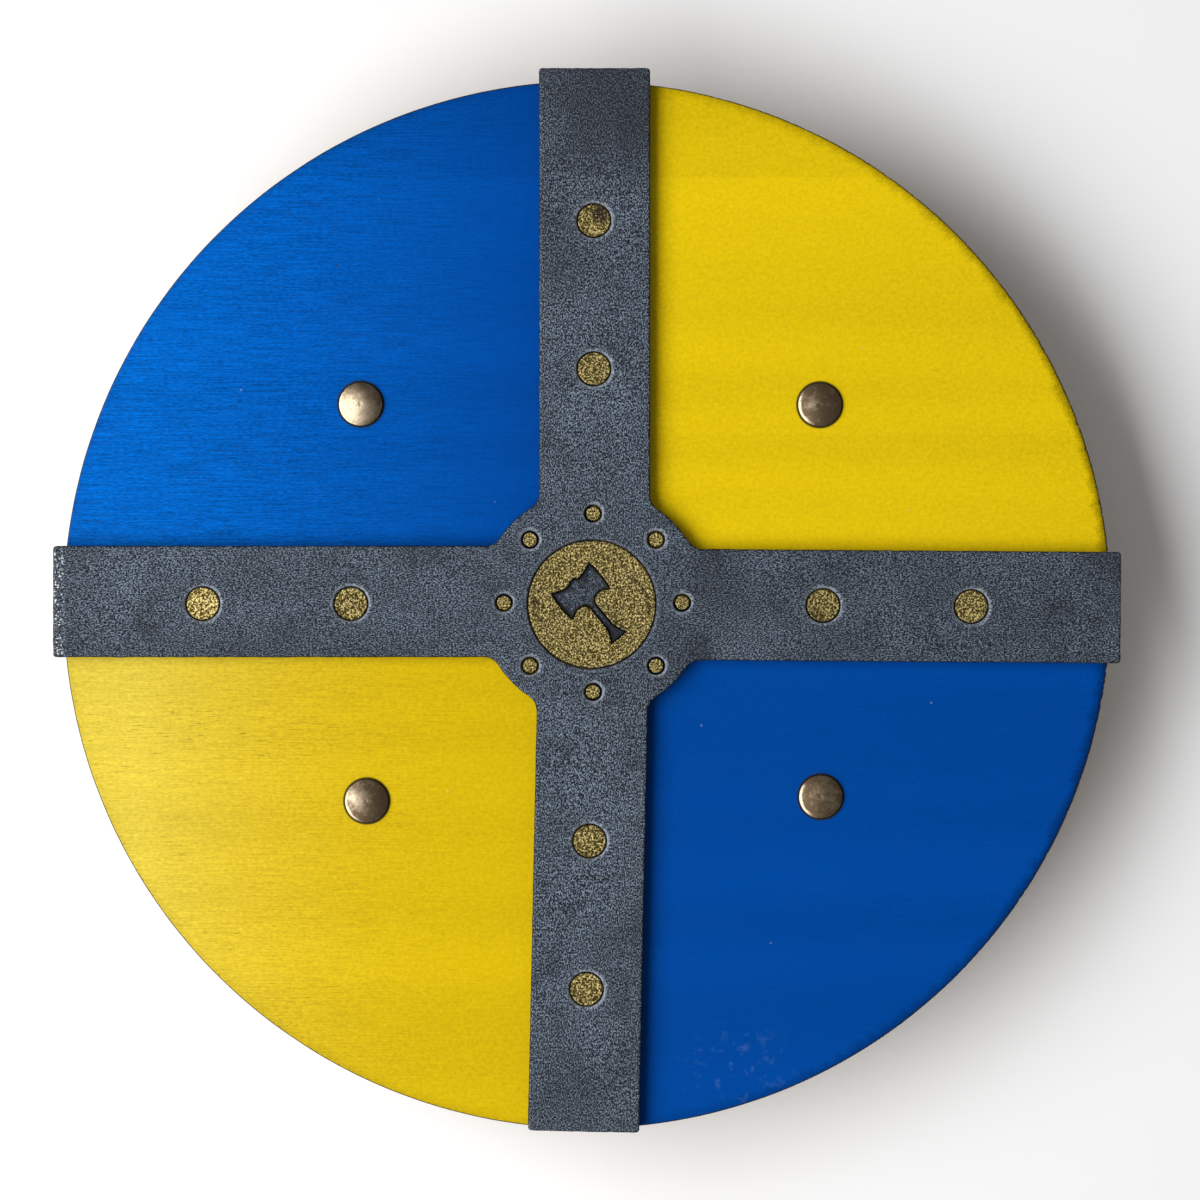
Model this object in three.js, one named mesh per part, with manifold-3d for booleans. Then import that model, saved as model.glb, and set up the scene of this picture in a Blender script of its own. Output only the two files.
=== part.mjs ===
// A child's round shield: a plywood disc painted in quarters, a foam cross glued on its front with
// foam discs laid in its holes, four cap rivets, and the two arm straps that they hold on the back.
// Millimetres, +Z out of the front face, +Y to the shield's top. It lies face up on the crowns of
// its straps, and the origin is on the ground below the middle of the board.

import * as THREE from 'three';
import { mergeVertices } from 'three/addons/utils/BufferGeometryUtils.js';
import Module from 'manifold-3d';

const wasm = await Module();
wasm.setup();

// Board
const boardDiameter = 350;
const boardThickness = 5;
const boardArris = 0.8;

// Foam cross: the arms run from the hub past the board's rim
const foamThickness = 5;
const foamEdge = 0.4;
const armWidth = 37.2;
const armCornerRadius = 1.2;
const hubBand = 16.45;
const hubFillet = 5.5;

// The cross as it was glued: the hub is a little off the board's middle, and each arm leans by some
// degrees, starts a little to one side of the hub's middle and overhangs the rim by its own amount
const hubCentre = new THREE.Vector2(2, 0.7);
const arms = [
  { name: 'right', heading: 0, lean: -0.4, shift: -0.4, discShift: 0, overhang: 2.8 },
  { name: 'top', heading: 90, lean: 0, shift: -0.5, discShift: 0.2, overhang: 3.8 },
  { name: 'left', heading: 180, lean: 0, shift: -0.4, discShift: 0.7, overhang: 2.9 },
  { name: 'bottom', heading: 270, lean: -1.2, shift: 0.5, discShift: 0, overhang: 0.5 },
];

// Foam inlays
const medallionDiameter = 42.3;
const medallionSink = 0.3;
const medallionShift = new THREE.Vector2(-0.4, -0.5);
const armDiscDiameter = 10.8;
const armDiscSink = 0.6;
const armDiscs = [
  { name: 'inner', share: 0.297 },
  { name: 'outer', share: 0.657 },
];
const ringDiscDiameter = 4.8;
const ringDiscSink = 0.8;
const ringDiscCount = 8;
const discEdge = 0.3;

// Double-bit axe let into the medallion, with gold foam left past each of its ends
const axeMargin = 8.15;
const axeTurn = 39.5;
const axeShift = new THREE.Vector2(0.9, -1.2);
const axeSink = 0.5;

// The right half of the axe's outline, head up, as shares of its length across and up from the
// middle of the head; the names that end in Pull are where a curve's tangents meet
const axe = {
  eye: [0.035, 0.188],
  neck: [0.077, 0.154],
  topPull: [0.196, 0.154],
  topHorn: [0.313, 0.225],
  bladePull: [0.359, 0],
  lowHorn: [0.313, -0.225],
  beardPull: [0.215, -0.155],
  beard: [0.138, -0.166],
  throatPull: [0.06, -0.178],
  throat: [0.049, -0.254],
  grip: [0.049, -0.565],
  flarePull: [0.055, -0.64],
  butt: [0.131, -0.775],
};

// Rivets: one pair of caps at each end of each strap
const rivetSpan = 131.7;
const rivetCentre = new THREE.Vector2(1.6, 1.05);
const strapSpacing = 152.4;
const shankDiameter = 4;
const frontCapDiameter = 15;
const frontCapHeight = 2.4;
const backCapDiameter = 12;
const backCapHeight = 2.6;
const backCapWall = 1;
const capRim = 0.8;

// How far each rivet was set from its nominal place
const rivets = [
  { name: 'upper_left', side: -1, row: 1, drift: new THREE.Vector2(-1, 0.1) },
  { name: 'upper_right', side: 1, row: 1, drift: new THREE.Vector2(-0.1, -0.1) },
  { name: 'lower_left', side: -1, row: -1, drift: new THREE.Vector2(1, -0.7) },
  { name: 'lower_right', side: 1, row: -1, drift: new THREE.Vector2(0.2, 0.7) },
];

// Straps
const strapWidth = 25;
const strapThickness = 2.5;
const strapDrop = 34;
const strapCrown = 44;
const strapTab = 13;
const strapTabBend = 10;
const strapCrownBend = 22;

// Clearances
const glueLine = 0.3;
const seatGap = 0.3;
const holeGap = 0.3;
const armDiscGap = 0.4;
const ringDiscGap = 0.6;
const axeGap = 0.3;

// How far a cutting shape runs past the faces that it cuts through
const cutPast = 1;

// Sides of the round pieces and steps of the short arcs
const boardSides = 96;
const medallionSides = 56;
const capSides = 18;
const armDiscSides = 20;
const ringDiscSides = 14;
const shankSides = 16;
const filletSteps = 5;
const cornerSteps = 3;

// Levels above the ground, and sizes that follow from the ones above
const boardRadius = boardDiameter / 2;
const boardBack = strapDrop;
const boardFront = boardBack + boardThickness;
const foamBack = boardFront + glueLine;
const foamFront = foamBack + foamThickness;
const medallionRadius = medallionDiameter / 2;
const medallionHole = medallionRadius + holeGap;
const hubRadius = medallionHole + hubBand;
const ringRadius = (medallionHole + hubRadius) / 2;
const strapTop = boardBack - seatGap;
const strapUnder = strapTop - strapThickness;

// Points on a circular arc, from one angle to another in degrees, both ends included
function arc(x, y, radius, from, to, steps) {
  const points = [];
  for (let i = 0; i <= steps; i += 1) {
    const angle = THREE.MathUtils.degToRad(from + ((to - from) * i) / steps);
    points.push(new THREE.Vector2(x + radius * Math.cos(angle), y + radius * Math.sin(angle)));
  }
  return points;
}

// A solid of revolution about +Z through a profile of [radius, height] points
function turned(profile, sides) {
  return new THREE.LatheGeometry(profile, sides).rotateX(Math.PI / 2);
}

// A round prism between two levels
function roundPrism(centre, radius, low, high, sides) {
  const profile = [
    new THREE.Vector2(0, low),
    new THREE.Vector2(radius, low),
    new THREE.Vector2(radius, high),
    new THREE.Vector2(0, high),
  ];
  return turned(profile, sides).translate(centre.x, centre.y, 0);
}

// An outline extruded between two levels, with its edges eased by a bevel where one is given
function prism(outline, low, high, bevel = 0) {
  const options = {
    depth: high - low - 2 * bevel,
    bevelEnabled: bevel > 0,
    bevelThickness: bevel,
    bevelSize: bevel,
    bevelOffset: -bevel,
    bevelSegments: 1,
  };
  return new THREE.ExtrudeGeometry(new THREE.Shape(outline), options).translate(0, 0, low + bevel);
}

// A closed geometry as a solid that can be cut
function solidFrom(geometry) {
  const bare = geometry.clone();
  bare.deleteAttribute('normal');
  bare.deleteAttribute('uv');
  const merged = mergeVertices(bare, 1e-4);
  return new wasm.Manifold(
    new wasm.Mesh({
      numProp: 3,
      vertProperties: merged.getAttribute('position').array,
      triVerts: new Uint32Array(merged.index.array),
    }),
  );
}

// A solid's surface as a geometry
function geometryFrom(solid) {
  const { vertProperties, triVerts } = solid.getMesh();
  const geometry = new THREE.BufferGeometry();
  geometry.setAttribute('position', new THREE.BufferAttribute(vertProperties, 3));
  geometry.setIndex(new THREE.BufferAttribute(triVerts, 1));
  geometry.computeVertexNormals();
  return geometry;
}

// A geometry with other geometries cut out of it
function cut(geometry, tools) {
  const solid = tools.reduce((left, tool) => left.subtract(solidFrom(tool)), solidFrom(geometry));
  return geometryFrom(solid);
}

const finishes = {
  paintedWood: { color: 0x0a5cb8, roughness: 0.45, metalness: 0 },
  greyFoam: { color: 0x4e5762, roughness: 0.8, metalness: 0 },
  goldFoam: { color: 0x9a8748, roughness: 0.55, metalness: 0.3 },
  brass: { color: 0x8f7d62, roughness: 0.35, metalness: 1 },
  leather: { color: 0x5a3420, roughness: 0.7, metalness: 0 },
};

function named(name, geometry, finish) {
  const mesh = new THREE.Mesh(geometry, new THREE.MeshStandardMaterial(finishes[finish]));
  mesh.name = name;
  return mesh;
}

// Where a rivet goes through the board
function rivetPlace({ side, row, drift }) {
  const x = rivetCentre.x + (side * strapSpacing) / 2 + drift.x;
  const y = rivetCentre.y + (row * rivetSpan) / 2 + drift.y;
  return new THREE.Vector2(x, y);
}

// A hole for a rivet's shank, between two levels
function shankHole(centre, low, high) {
  const radius = shankDiameter / 2 + holeGap;
  return roundPrism(centre, radius, low - cutPast, high + cutPast, shankSides);
}

function makeBoard() {
  const corner = boardRadius - boardArris;
  const profile = [
    new THREE.Vector2(0, boardBack),
    ...arc(corner, boardBack + boardArris, boardArris, -90, 0, 2),
    ...arc(corner, boardFront - boardArris, boardArris, 0, 90, 2),
    new THREE.Vector2(0, boardFront),
  ];
  const holes = rivets.map((rivet) => shankHole(rivetPlace(rivet), boardBack, boardFront));
  return named('board', cut(turned(profile, boardSides), holes), 'paintedWood');
}

// The unit vectors along an arm and to its left
function armAxes(arm) {
  const along = new THREE.Vector2(1, 0).rotateAround(
    new THREE.Vector2(),
    THREE.MathUtils.degToRad(arm.heading + arm.lean),
  );
  return { along, left: new THREE.Vector2(-along.y, along.x) };
}

// A point given by its reach from the hub along an arm, and its distance to the arm's left
function onArm(arm, reach, aside) {
  const { along, left } = armAxes(arm);
  return hubCentre.clone().addScaledVector(along, reach).addScaledVector(left, aside);
}

// How far a point on an arm is from the hub, when it is that far from the board's middle
function reachOf(arm, fromMiddle) {
  return fromMiddle - hubCentre.dot(armAxes(arm).along);
}

// The fillet between an arm's edge and the hub's circle, no larger than half the corner between
// two arms has room for: its middle as run and aside, its radius, and its angle at the hub
function hubCorner(edge) {
  const corner = Math.sin(THREE.MathUtils.degToRad(180 / arms.length - 2));
  const room = (hubRadius * corner - Math.abs(edge)) / (1 - corner);
  const radius = Math.min(hubFillet, room);
  const aside = edge + Math.sign(edge) * radius;
  const run = Math.sqrt((hubRadius + radius) ** 2 - aside ** 2);
  const inward = 180 + THREE.MathUtils.radToDeg(Math.atan2(aside, run));
  return { run, aside, radius, inward };
}

// One arm's stretch of the cross's outline: fillet, edge, two end corners, edge, fillet
function armOutline(arm) {
  const half = armWidth / 2;
  const right = hubCorner(arm.shift - half);
  const left = hubCorner(arm.shift + half);
  const tip = reachOf(arm, boardRadius + arm.overhang) - armCornerRadius;
  const side = half - armCornerRadius;
  const points = [
    ...arc(right.run, right.aside, right.radius, right.inward, 90, filletSteps),
    ...arc(tip, arm.shift - side, armCornerRadius, -90, 0, cornerSteps),
    ...arc(tip, arm.shift + side, armCornerRadius, 0, 90, cornerSteps),
    ...arc(left.run, left.aside, left.radius, 270, left.inward, filletSteps),
  ];
  return points.map((point) => onArm(arm, point.x, point.y));
}

// The stretch of the hub's circle between two neighbouring points of the outline
function hubOutline(from, to) {
  const angleOf = (point) => THREE.MathUtils.radToDeg(point.clone().sub(hubCentre).angle());
  const start = angleOf(from);
  const end = angleOf(to);
  const sweep = THREE.MathUtils.euclideanModulo(end - start, 360);
  return arc(hubCentre.x, hubCentre.y, hubRadius, start, start + sweep, filletSteps).slice(1, -1);
}

function crossOutline() {
  const stretches = arms.map(armOutline);
  return stretches.flatMap((stretch, i) => {
    const next = stretches[(i + 1) % stretches.length];
    return [...stretch, ...hubOutline(stretch.at(-1), next[0])];
  });
}

function armDiscPlace(arm, disc) {
  const fromMiddle = THREE.MathUtils.lerp(hubRadius, boardRadius, disc.share);
  return onArm(arm, reachOf(arm, fromMiddle), arm.shift + arm.discShift);
}

function ringDiscPlace(index) {
  const angle = (2 * Math.PI * index) / ringDiscCount;
  return new THREE.Vector2(ringRadius, 0).rotateAround(new THREE.Vector2(), angle).add(hubCentre);
}

function medallionPlace() {
  return hubCentre.clone().add(medallionShift);
}

function makeCross() {
  const punch = (place, radius, sides) =>
    roundPrism(place, radius, foamBack - cutPast, foamFront + cutPast, sides);
  const armHole = armDiscDiameter / 2 + armDiscGap;
  const ringHole = ringDiscDiameter / 2 + ringDiscGap;
  const punches = [punch(medallionPlace(), medallionHole, medallionSides)];
  for (const arm of arms) {
    for (const disc of armDiscs) {
      punches.push(punch(armDiscPlace(arm, disc), armHole, armDiscSides));
    }
  }
  for (let i = 0; i < ringDiscCount; i += 1) {
    punches.push(punch(ringDiscPlace(i), ringHole, ringDiscSides));
  }
  const body = prism(crossOutline(), foamBack, foamFront, foamEdge);
  return named('foam_cross', cut(body, punches), 'greyFoam');
}

// A foam disc lying in its hole, its face a little below the foam around it
function foamDisc(centre, diameter, sink, sides) {
  const radius = diameter / 2;
  const face = foamFront - sink;
  const profile = [
    new THREE.Vector2(0, foamBack),
    new THREE.Vector2(radius, foamBack),
    new THREE.Vector2(radius, face - discEdge),
    new THREE.Vector2(radius - discEdge, face),
    new THREE.Vector2(0, face),
  ];
  return turned(profile, sides).translate(centre.x, centre.y, 0);
}

function makeArmDiscs() {
  return arms.flatMap((arm) =>
    armDiscs.map((disc) => {
      const place = armDiscPlace(arm, disc);
      const shape = foamDisc(place, armDiscDiameter, armDiscSink, armDiscSides);
      return named(`arm_disc_${arm.name}_${disc.name}`, shape, 'goldFoam');
    }),
  );
}

function makeRingDiscs() {
  return Array.from({ length: ringDiscCount }, (_, i) => {
    const shape = foamDisc(ringDiscPlace(i), ringDiscDiameter, ringDiscSink, ringDiscSides);
    return named(`ring_disc_${i + 1}`, shape, 'goldFoam');
  });
}

// The axe's outline in its place in the medallion, clockwise from the end of its butt
function axeOutline() {
  const right = new THREE.Path();
  right.moveTo(0, axe.eye[1]);
  right.lineTo(...axe.eye);
  right.lineTo(...axe.neck);
  right.quadraticCurveTo(...axe.topPull, ...axe.topHorn);
  right.quadraticCurveTo(...axe.bladePull, ...axe.lowHorn);
  right.quadraticCurveTo(...axe.beardPull, ...axe.beard);
  right.quadraticCurveTo(...axe.throatPull, ...axe.throat);
  right.lineTo(...axe.grip);
  right.quadraticCurveTo(...axe.flarePull, ...axe.butt);
  const half = right.getPoints(4).slice(1);
  const mirrored = half.map(({ x, y }) => new THREE.Vector2(-x, y)).reverse();
  const length = medallionDiameter - 2 * axeMargin;
  const middle = (axe.topHorn[1] + axe.butt[1]) / 2;
  const centre = medallionPlace().add(axeShift);
  const turn = THREE.MathUtils.degToRad(axeTurn);
  return [...mirrored, ...half].map(({ x, y }) =>
    new THREE.Vector2(x, y - middle)
      .multiplyScalar(length)
      .rotateAround(new THREE.Vector2(), turn)
      .add(centre),
  );
}

// A clockwise outline drawn in by a distance all round, each corner along its own bisector
function drawnIn(outline, distance) {
  return outline.map((point, i) => {
    const before = point.clone().sub(outline.at(i - 1)).normalize();
    const after = outline[(i + 1) % outline.length].clone().sub(point).normalize();
    const inward = new THREE.Vector2(before.y + after.y, -before.x - after.x).normalize();
    const share = inward.dot(new THREE.Vector2(after.y, -after.x));
    return point.clone().addScaledVector(inward, distance / share);
  });
}

function makeMedallion() {
  const disc = foamDisc(medallionPlace(), medallionDiameter, medallionSink, medallionSides);
  const opening = prism(axeOutline(), foamBack - cutPast, foamFront + cutPast);
  return named('medallion', cut(disc, [opening]), 'goldFoam');
}

function makeAxe() {
  const face = foamFront - medallionSink - axeSink;
  return named('axe_inlay', prism(drawnIn(axeOutline(), axeGap), foamBack, face), 'greyFoam');
}

// A cap's rolled rim and shallow dome as a profile, from its seat to its crown, seat at height 0
function capProfile(diameter, height) {
  const radius = diameter / 2;
  const rim = capRim / 2;
  const reach = radius - rim;
  const rise = height - capRim;
  const sphere = (reach ** 2 + rise ** 2) / (2 * rise);
  const spread = THREE.MathUtils.radToDeg(Math.asin(reach / sphere));
  return [
    ...arc(reach, rim, rim, -90, 60, cornerSteps),
    ...arc(0, height - sphere, sphere, 90 - spread, 90, cornerSteps + 1),
  ];
}

// The front cap with its shank, which goes through the board and the strap into the back cap
function frontRivet(centre) {
  const seat = boardFront + seatGap;
  const shank = shankDiameter / 2;
  const shankEnd = strapUnder - seatGap - (backCapHeight - backCapWall) + holeGap;
  const profile = [
    new THREE.Vector2(0, shankEnd),
    new THREE.Vector2(shank, shankEnd),
    new THREE.Vector2(shank, seat),
    ...capProfile(frontCapDiameter, frontCapHeight).map(({ x, y }) => new THREE.Vector2(x, seat + y)),
  ];
  return turned(profile, capSides).translate(centre.x, centre.y, 0);
}

// The back cap with the socket that takes the shank's end
function backCap(centre) {
  const seat = strapUnder - seatGap;
  const socket = shankDiameter / 2 + holeGap;
  const socketEnd = seat - (backCapHeight - backCapWall);
  const dome = capProfile(backCapDiameter, backCapHeight).map(
    ({ x, y }) => new THREE.Vector2(x, seat - y),
  );
  const profile = [
    ...dome.reverse(),
    new THREE.Vector2(socket, seat),
    new THREE.Vector2(socket, socketEnd),
    new THREE.Vector2(0, socketEnd),
  ];
  return turned(profile, capSides).translate(centre.x, centre.y, 0);
}

function makeRivets() {
  return rivets.flatMap((rivet) => {
    const centre = rivetPlace(rivet);
    return [
      named(`rivet_${rivet.name}`, frontRivet(centre), 'brass'),
      named(`rivet_back_${rivet.name}`, backCap(centre), 'brass'),
    ];
  });
}

// One half of the strap's middle line, from the crown to the end of the tab: each point with the
// direction that the strap runs in there
function strapMiddle(span) {
  const low = strapThickness / 2;
  const high = strapTop - strapThickness / 2;
  const foot = new THREE.Vector2(strapCrown / 2, low);
  const knee = new THREE.Vector2(span / 2 - strapTab, high);
  const slope = knee.clone().sub(foot).angle();
  const degrees = THREE.MathUtils.radToDeg(slope);
  const footBend = foot.x - strapCrownBend * Math.tan(slope / 2);
  const kneeBend = knee.x + strapTabBend * Math.tan(slope / 2);
  const rise = arc(footBend, low + strapCrownBend, strapCrownBend, -90, degrees - 90, filletSteps);
  const level = arc(kneeBend, high - strapTabBend, strapTabBend, degrees + 90, 90, filletSteps);
  return [
    ...rise.map((point, i) => ({ point, run: (slope * i) / filletSteps })),
    ...level.map((point, i) => ({ point, run: slope * (1 - i / filletSteps) })),
    { point: new THREE.Vector2(span / 2 + strapWidth / 2, high), run: 0 },
  ];
}

// The strap seen from its side: a band of even thickness along its middle line, the same both ways
function strapSide(span) {
  const face = (distance) =>
    strapMiddle(span).map(({ point, run }) =>
      point.clone().add(new THREE.Vector2(-Math.sin(run), Math.cos(run)).multiplyScalar(distance)),
    );
  const mirrored = (points) => points.map(({ x, y }) => new THREE.Vector2(-x, y));
  const under = face(-strapThickness / 2);
  const over = face(strapThickness / 2);
  return [...mirrored(under).reverse(), ...under, ...over.reverse(), ...mirrored(over).reverse()];
}

// One strap between its two rivets, with round ends and a hole for each shank
function strap(upper, lower) {
  const between = upper.clone().sub(lower);
  const middle = upper.clone().add(lower).divideScalar(2);
  const span = between.length();
  const end = strapWidth / 2;
  const plan = [
    ...arc(span / 2, 0, end, -90, 90, 2 * filletSteps),
    ...arc(-span / 2, 0, end, 90, 270, 2 * filletSteps),
  ];
  const band = solidFrom(prism(strapSide(span), -end, end).rotateX(Math.PI / 2));
  const trimmed = band.intersect(solidFrom(prism(plan, -cutPast, strapTop + cutPast)));
  const placed = geometryFrom(trimmed)
    .rotateZ(between.angle())
    .translate(middle.x, middle.y, 0);
  return cut(placed, [upper, lower].map((place) => shankHole(place, strapUnder, strapTop)));
}

function makeStraps() {
  return [
    { name: 'left', side: -1 },
    { name: 'right', side: 1 },
  ].map(({ name, side }) => {
    const at = (row) => rivetPlace(rivets.find((rivet) => rivet.side === side && rivet.row === row));
    return named(`strap_${name}`, strap(at(1), at(-1)), 'leather');
  });
}

const shield = new THREE.Group();
shield.name = 'round_shield';
shield.add(makeBoard(), makeCross(), makeMedallion(), makeAxe());
shield.add(...makeArmDiscs(), ...makeRingDiscs(), ...makeRivets(), ...makeStraps());

export default shield;
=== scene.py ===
# %% [markdown]
# A child's wooden round shield
#
# The real shield is a plywood disc, painted in quarters. A grey foam cross is glued on its front, with
# gold foam discs laid in its holes and a gold medallion in the middle. Four cap rivets go through the
# board and hold two leather arm straps on its back. It lies face up here, resting on those straps.
#
# The solids of the pieces come ready made, as a fixed frame. This lesson dresses them: each piece gets
# its fine shape and its finish, and stays where the frame has it.

# %% Load the frame
import math

import bmesh
import bpy
import numpy as np
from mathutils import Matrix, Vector, geometry, kdtree, noise


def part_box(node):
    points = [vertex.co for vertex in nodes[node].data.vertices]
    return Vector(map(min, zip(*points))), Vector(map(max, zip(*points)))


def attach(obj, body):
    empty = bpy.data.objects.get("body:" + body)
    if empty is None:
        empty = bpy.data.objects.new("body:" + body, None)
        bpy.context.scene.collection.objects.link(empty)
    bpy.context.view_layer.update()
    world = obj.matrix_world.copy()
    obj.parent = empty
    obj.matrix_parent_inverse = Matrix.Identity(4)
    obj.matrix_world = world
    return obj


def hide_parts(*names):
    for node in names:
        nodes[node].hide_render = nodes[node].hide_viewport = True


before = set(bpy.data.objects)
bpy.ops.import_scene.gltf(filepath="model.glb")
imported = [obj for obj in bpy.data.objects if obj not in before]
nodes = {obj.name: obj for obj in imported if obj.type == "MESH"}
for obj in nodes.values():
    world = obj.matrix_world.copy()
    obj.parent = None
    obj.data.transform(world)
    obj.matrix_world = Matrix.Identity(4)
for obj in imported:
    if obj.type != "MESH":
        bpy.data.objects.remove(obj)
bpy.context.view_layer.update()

MM = 0.001
print("solids in the frame:", len(nodes))

# %% [markdown]
# What the frame tells
#
# A size that the frame already has is read from it, so that no piece can drift from its solid. The
# board gives the levels of its two faces, and a disc or a rivet gives its middle and its width. The
# painted quarters meet a little off the medallion's middle, so their border has a shift of its own.

# %% Read places and sizes off the solids
def middle(node):
    low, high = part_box(node)
    return (low + high) / 2


def width(node):
    low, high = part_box(node)
    return high.x - low.x


BOARD_LOW, BOARD_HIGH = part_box("board")
CROSS_LOW, CROSS_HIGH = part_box("foam_cross")
BOARD_RADIUS = width("board") / 2
BORDER_SHIFT = Vector((0.4, 0.5, 0)) * MM
HUB = middle("medallion") + BORDER_SHIFT
ARM_NAMES = ("right", "top", "left", "bottom")
RIVET_PLACES = ("upper_left", "upper_right", "lower_left", "lower_right")
print("board radius in mm:", round(BOARD_RADIUS / MM, 2), "foam front at mm:", round(CROSS_HIGH.z / MM, 2))

# %% [markdown]
# Floor, camera and light
#
# The photograph was taken from straight in front, so the camera looks straight down on the lying
# shield. A long lens from a good way off keeps the raised foam from leaning outwards. The frame's
# width on the board is a measured size, and the lens and the distance follow from each other.
#
# One large soft light stands at the left and a little below, as a window would. The shadows tell so:
# they are widest at the right of the upright arms, weaker above the level arms and faint below them.
# The room around is dim, because a shadow's foot has only a sixth of the light beside it.

# %% Set the stage
FRAME_WIDTH = 400.8 * MM
LENS = 135
SENSOR = 36
VIEW_CENTRE = Vector((4.3, 1.6, 0)) * MM
FLOOR_GAP = 0.05 * MM
FLOOR_SIZE = 6


def placed(name, data):
    thing = bpy.data.objects.new(name, data)
    bpy.context.scene.collection.objects.link(thing)
    return thing


def make_floor():
    half = FLOOR_SIZE / 2
    mesh = bpy.data.meshes.new("floor")
    corners = [(-half, -half), (half, -half), (half, half), (-half, half)]
    mesh.from_pydata([(x, y, -FLOOR_GAP) for x, y in corners], [], [(0, 1, 2, 3)])
    floor = placed("floor", mesh)
    finish = bpy.data.materials.new("pale_paper")
    finish.use_nodes = True
    sheet = finish.node_tree.nodes["Principled BSDF"]
    sheet.inputs["Base Color"].default_value = (0.96, 0.96, 0.96, 1)
    sheet.inputs["Roughness"].default_value = 0.9
    sheet.inputs["Specular IOR Level"].default_value = 0.1
    mesh.materials.append(finish)


def make_camera():
    data = bpy.data.cameras.new("camera")
    data.lens = LENS
    data.sensor_width = SENSOR
    data.clip_end = 20
    camera = placed("camera", data)
    distance = FRAME_WIDTH * LENS / SENSOR
    camera.location = VIEW_CENTRE + Vector((0, 0, BOARD_HIGH.z + distance))
    bpy.context.scene.camera = camera
    return distance


make_floor()
print("camera above the board in mm:", round(make_camera() / MM))

# %% [markdown]
# An area light shines along its own -Z, so it is turned towards the middle of the board. The world
# gives the weak light of the room.

# %% Hang the window light
WINDOW_PLACE = Vector((-1.40, -0.30, 1.54))
WINDOW_SIZE = (3.0, 1.5)
WINDOW_WATTS = 69
ROOM_LIGHT = 0.22


def hang_window():
    data = bpy.data.lights.new("window", "AREA")
    data.shape = "RECTANGLE"
    data.size, data.size_y = WINDOW_SIZE
    data.energy = WINDOW_WATTS
    window = placed("window", data)
    window.location = WINDOW_PLACE
    aim = Vector((0, 0, BOARD_HIGH.z)) - WINDOW_PLACE
    window.rotation_euler = aim.to_track_quat("-Z", "Y").to_euler()


def light_the_room(strength):
    world = bpy.data.worlds.new("room")
    world.use_nodes = True
    room = world.node_tree.nodes["Background"]
    room.inputs["Color"].default_value = (1, 1, 1, 1)
    room.inputs["Strength"].default_value = strength
    bpy.context.scene.world = world


hang_window()
light_the_room(ROOM_LIGHT)
bpy.context.scene.view_settings.view_transform = "Standard"
print("window to board in mm:", round(WINDOW_PLACE.length / MM))

# %% [markdown]
# Helpers for node trees
#
# Every finish and every repeated piece below is a node tree. These helpers add a node, set its
# options, and join or fill its sockets in one call, so that a tree reads from its start to its end.

# %% Add and join nodes
NODE_STEP = 190


def put(tree, kind, sockets=None, **options):
    node = tree.nodes.new(kind)
    node.location = (NODE_STEP * len(tree.nodes), 0)
    for name, value in options.items():
        setattr(node, name, value)
    for key, value in (sockets or {}).items():
        if isinstance(value, bpy.types.NodeSocket):
            tree.links.new(value, node.inputs[key])
        else:
            node.inputs[key].default_value = value
    return node


def calc(tree, operation, a, b=0.0, clamp=False):
    sum_node = put(tree, "ShaderNodeMath", {0: a, 1: b}, operation=operation, use_clamp=clamp)
    return sum_node.outputs[0]


def times(tree, a, b, clamp=False):
    return calc(tree, "MULTIPLY", a, b, clamp)


def plus(tree, a, b, clamp=False):
    return calc(tree, "ADD", a, b, clamp)


def minus(tree, a, b, clamp=False):
    return calc(tree, "SUBTRACT", a, b, clamp)


def vector_calc(tree, operation, a, b):
    return put(tree, "ShaderNodeVectorMath", {0: a, 1: b}, operation=operation).outputs[0]


def squared(tree, value):
    return times(tree, value, value)


# %% [markdown]
# A ramp carries one span of values over to another. A cloud is noise. Its three numbers say how many
# grains go to the metre, how many finer layers lie on them, and how strong those layers are. Drawn
# out, a cloud has another scale along each axis, as the grain of wood has.

# %% Ramps, colours and clouds
def ramp(tree, value, low, high, start=0.0, end=1.0):
    sockets = {"Value": value, "From Min": low, "From Max": high, "To Min": start, "To Max": end}
    return put(tree, "ShaderNodeMapRange", sockets).outputs[0]


def tint(tree, share, under, over, blend="MIX"):
    mix = put(tree, "ShaderNodeMix", data_type="RGBA", blend_type=blend)
    for index, value in ((0, share), (6, under), (7, over)):
        if isinstance(value, bpy.types.NodeSocket):
            tree.links.new(value, mix.inputs[index])
        else:
            mix.inputs[index].default_value = value if index == 0 else (*value, 1)
    return mix.outputs[2]


def shaded(tree, colour, factor):
    grey = put(tree, "ShaderNodeCombineColor", {0: factor, 1: factor, 2: factor}).outputs[0]
    return tint(tree, 1, colour, grey, "MULTIPLY")


def cloud(tree, vector, scale, detail=2.0, roughness=0.5):
    sockets = {"Vector": vector, "Scale": scale, "Detail": detail, "Roughness": roughness}
    return put(tree, "ShaderNodeTexNoise", sockets).outputs[0]


def drawn_cloud(tree, vector, stretch, detail, roughness):
    return cloud(tree, vector_calc(tree, "MULTIPLY", vector, stretch), 1, detail, roughness)


def attribute(tree, name):
    return put(tree, "ShaderNodeAttribute", attribute_name=name).outputs["Fac"]


def distance_to(tree, place, point):
    return put(tree, "ShaderNodeVectorMath", {0: place, 1: point}, operation="DISTANCE").outputs["Value"]


# %% [markdown]
# A shader node group is a finish effect with named inputs and outputs. It is built once and placed in
# each material that needs it. Each socket is made on the group's interface before it can be used.

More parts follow.
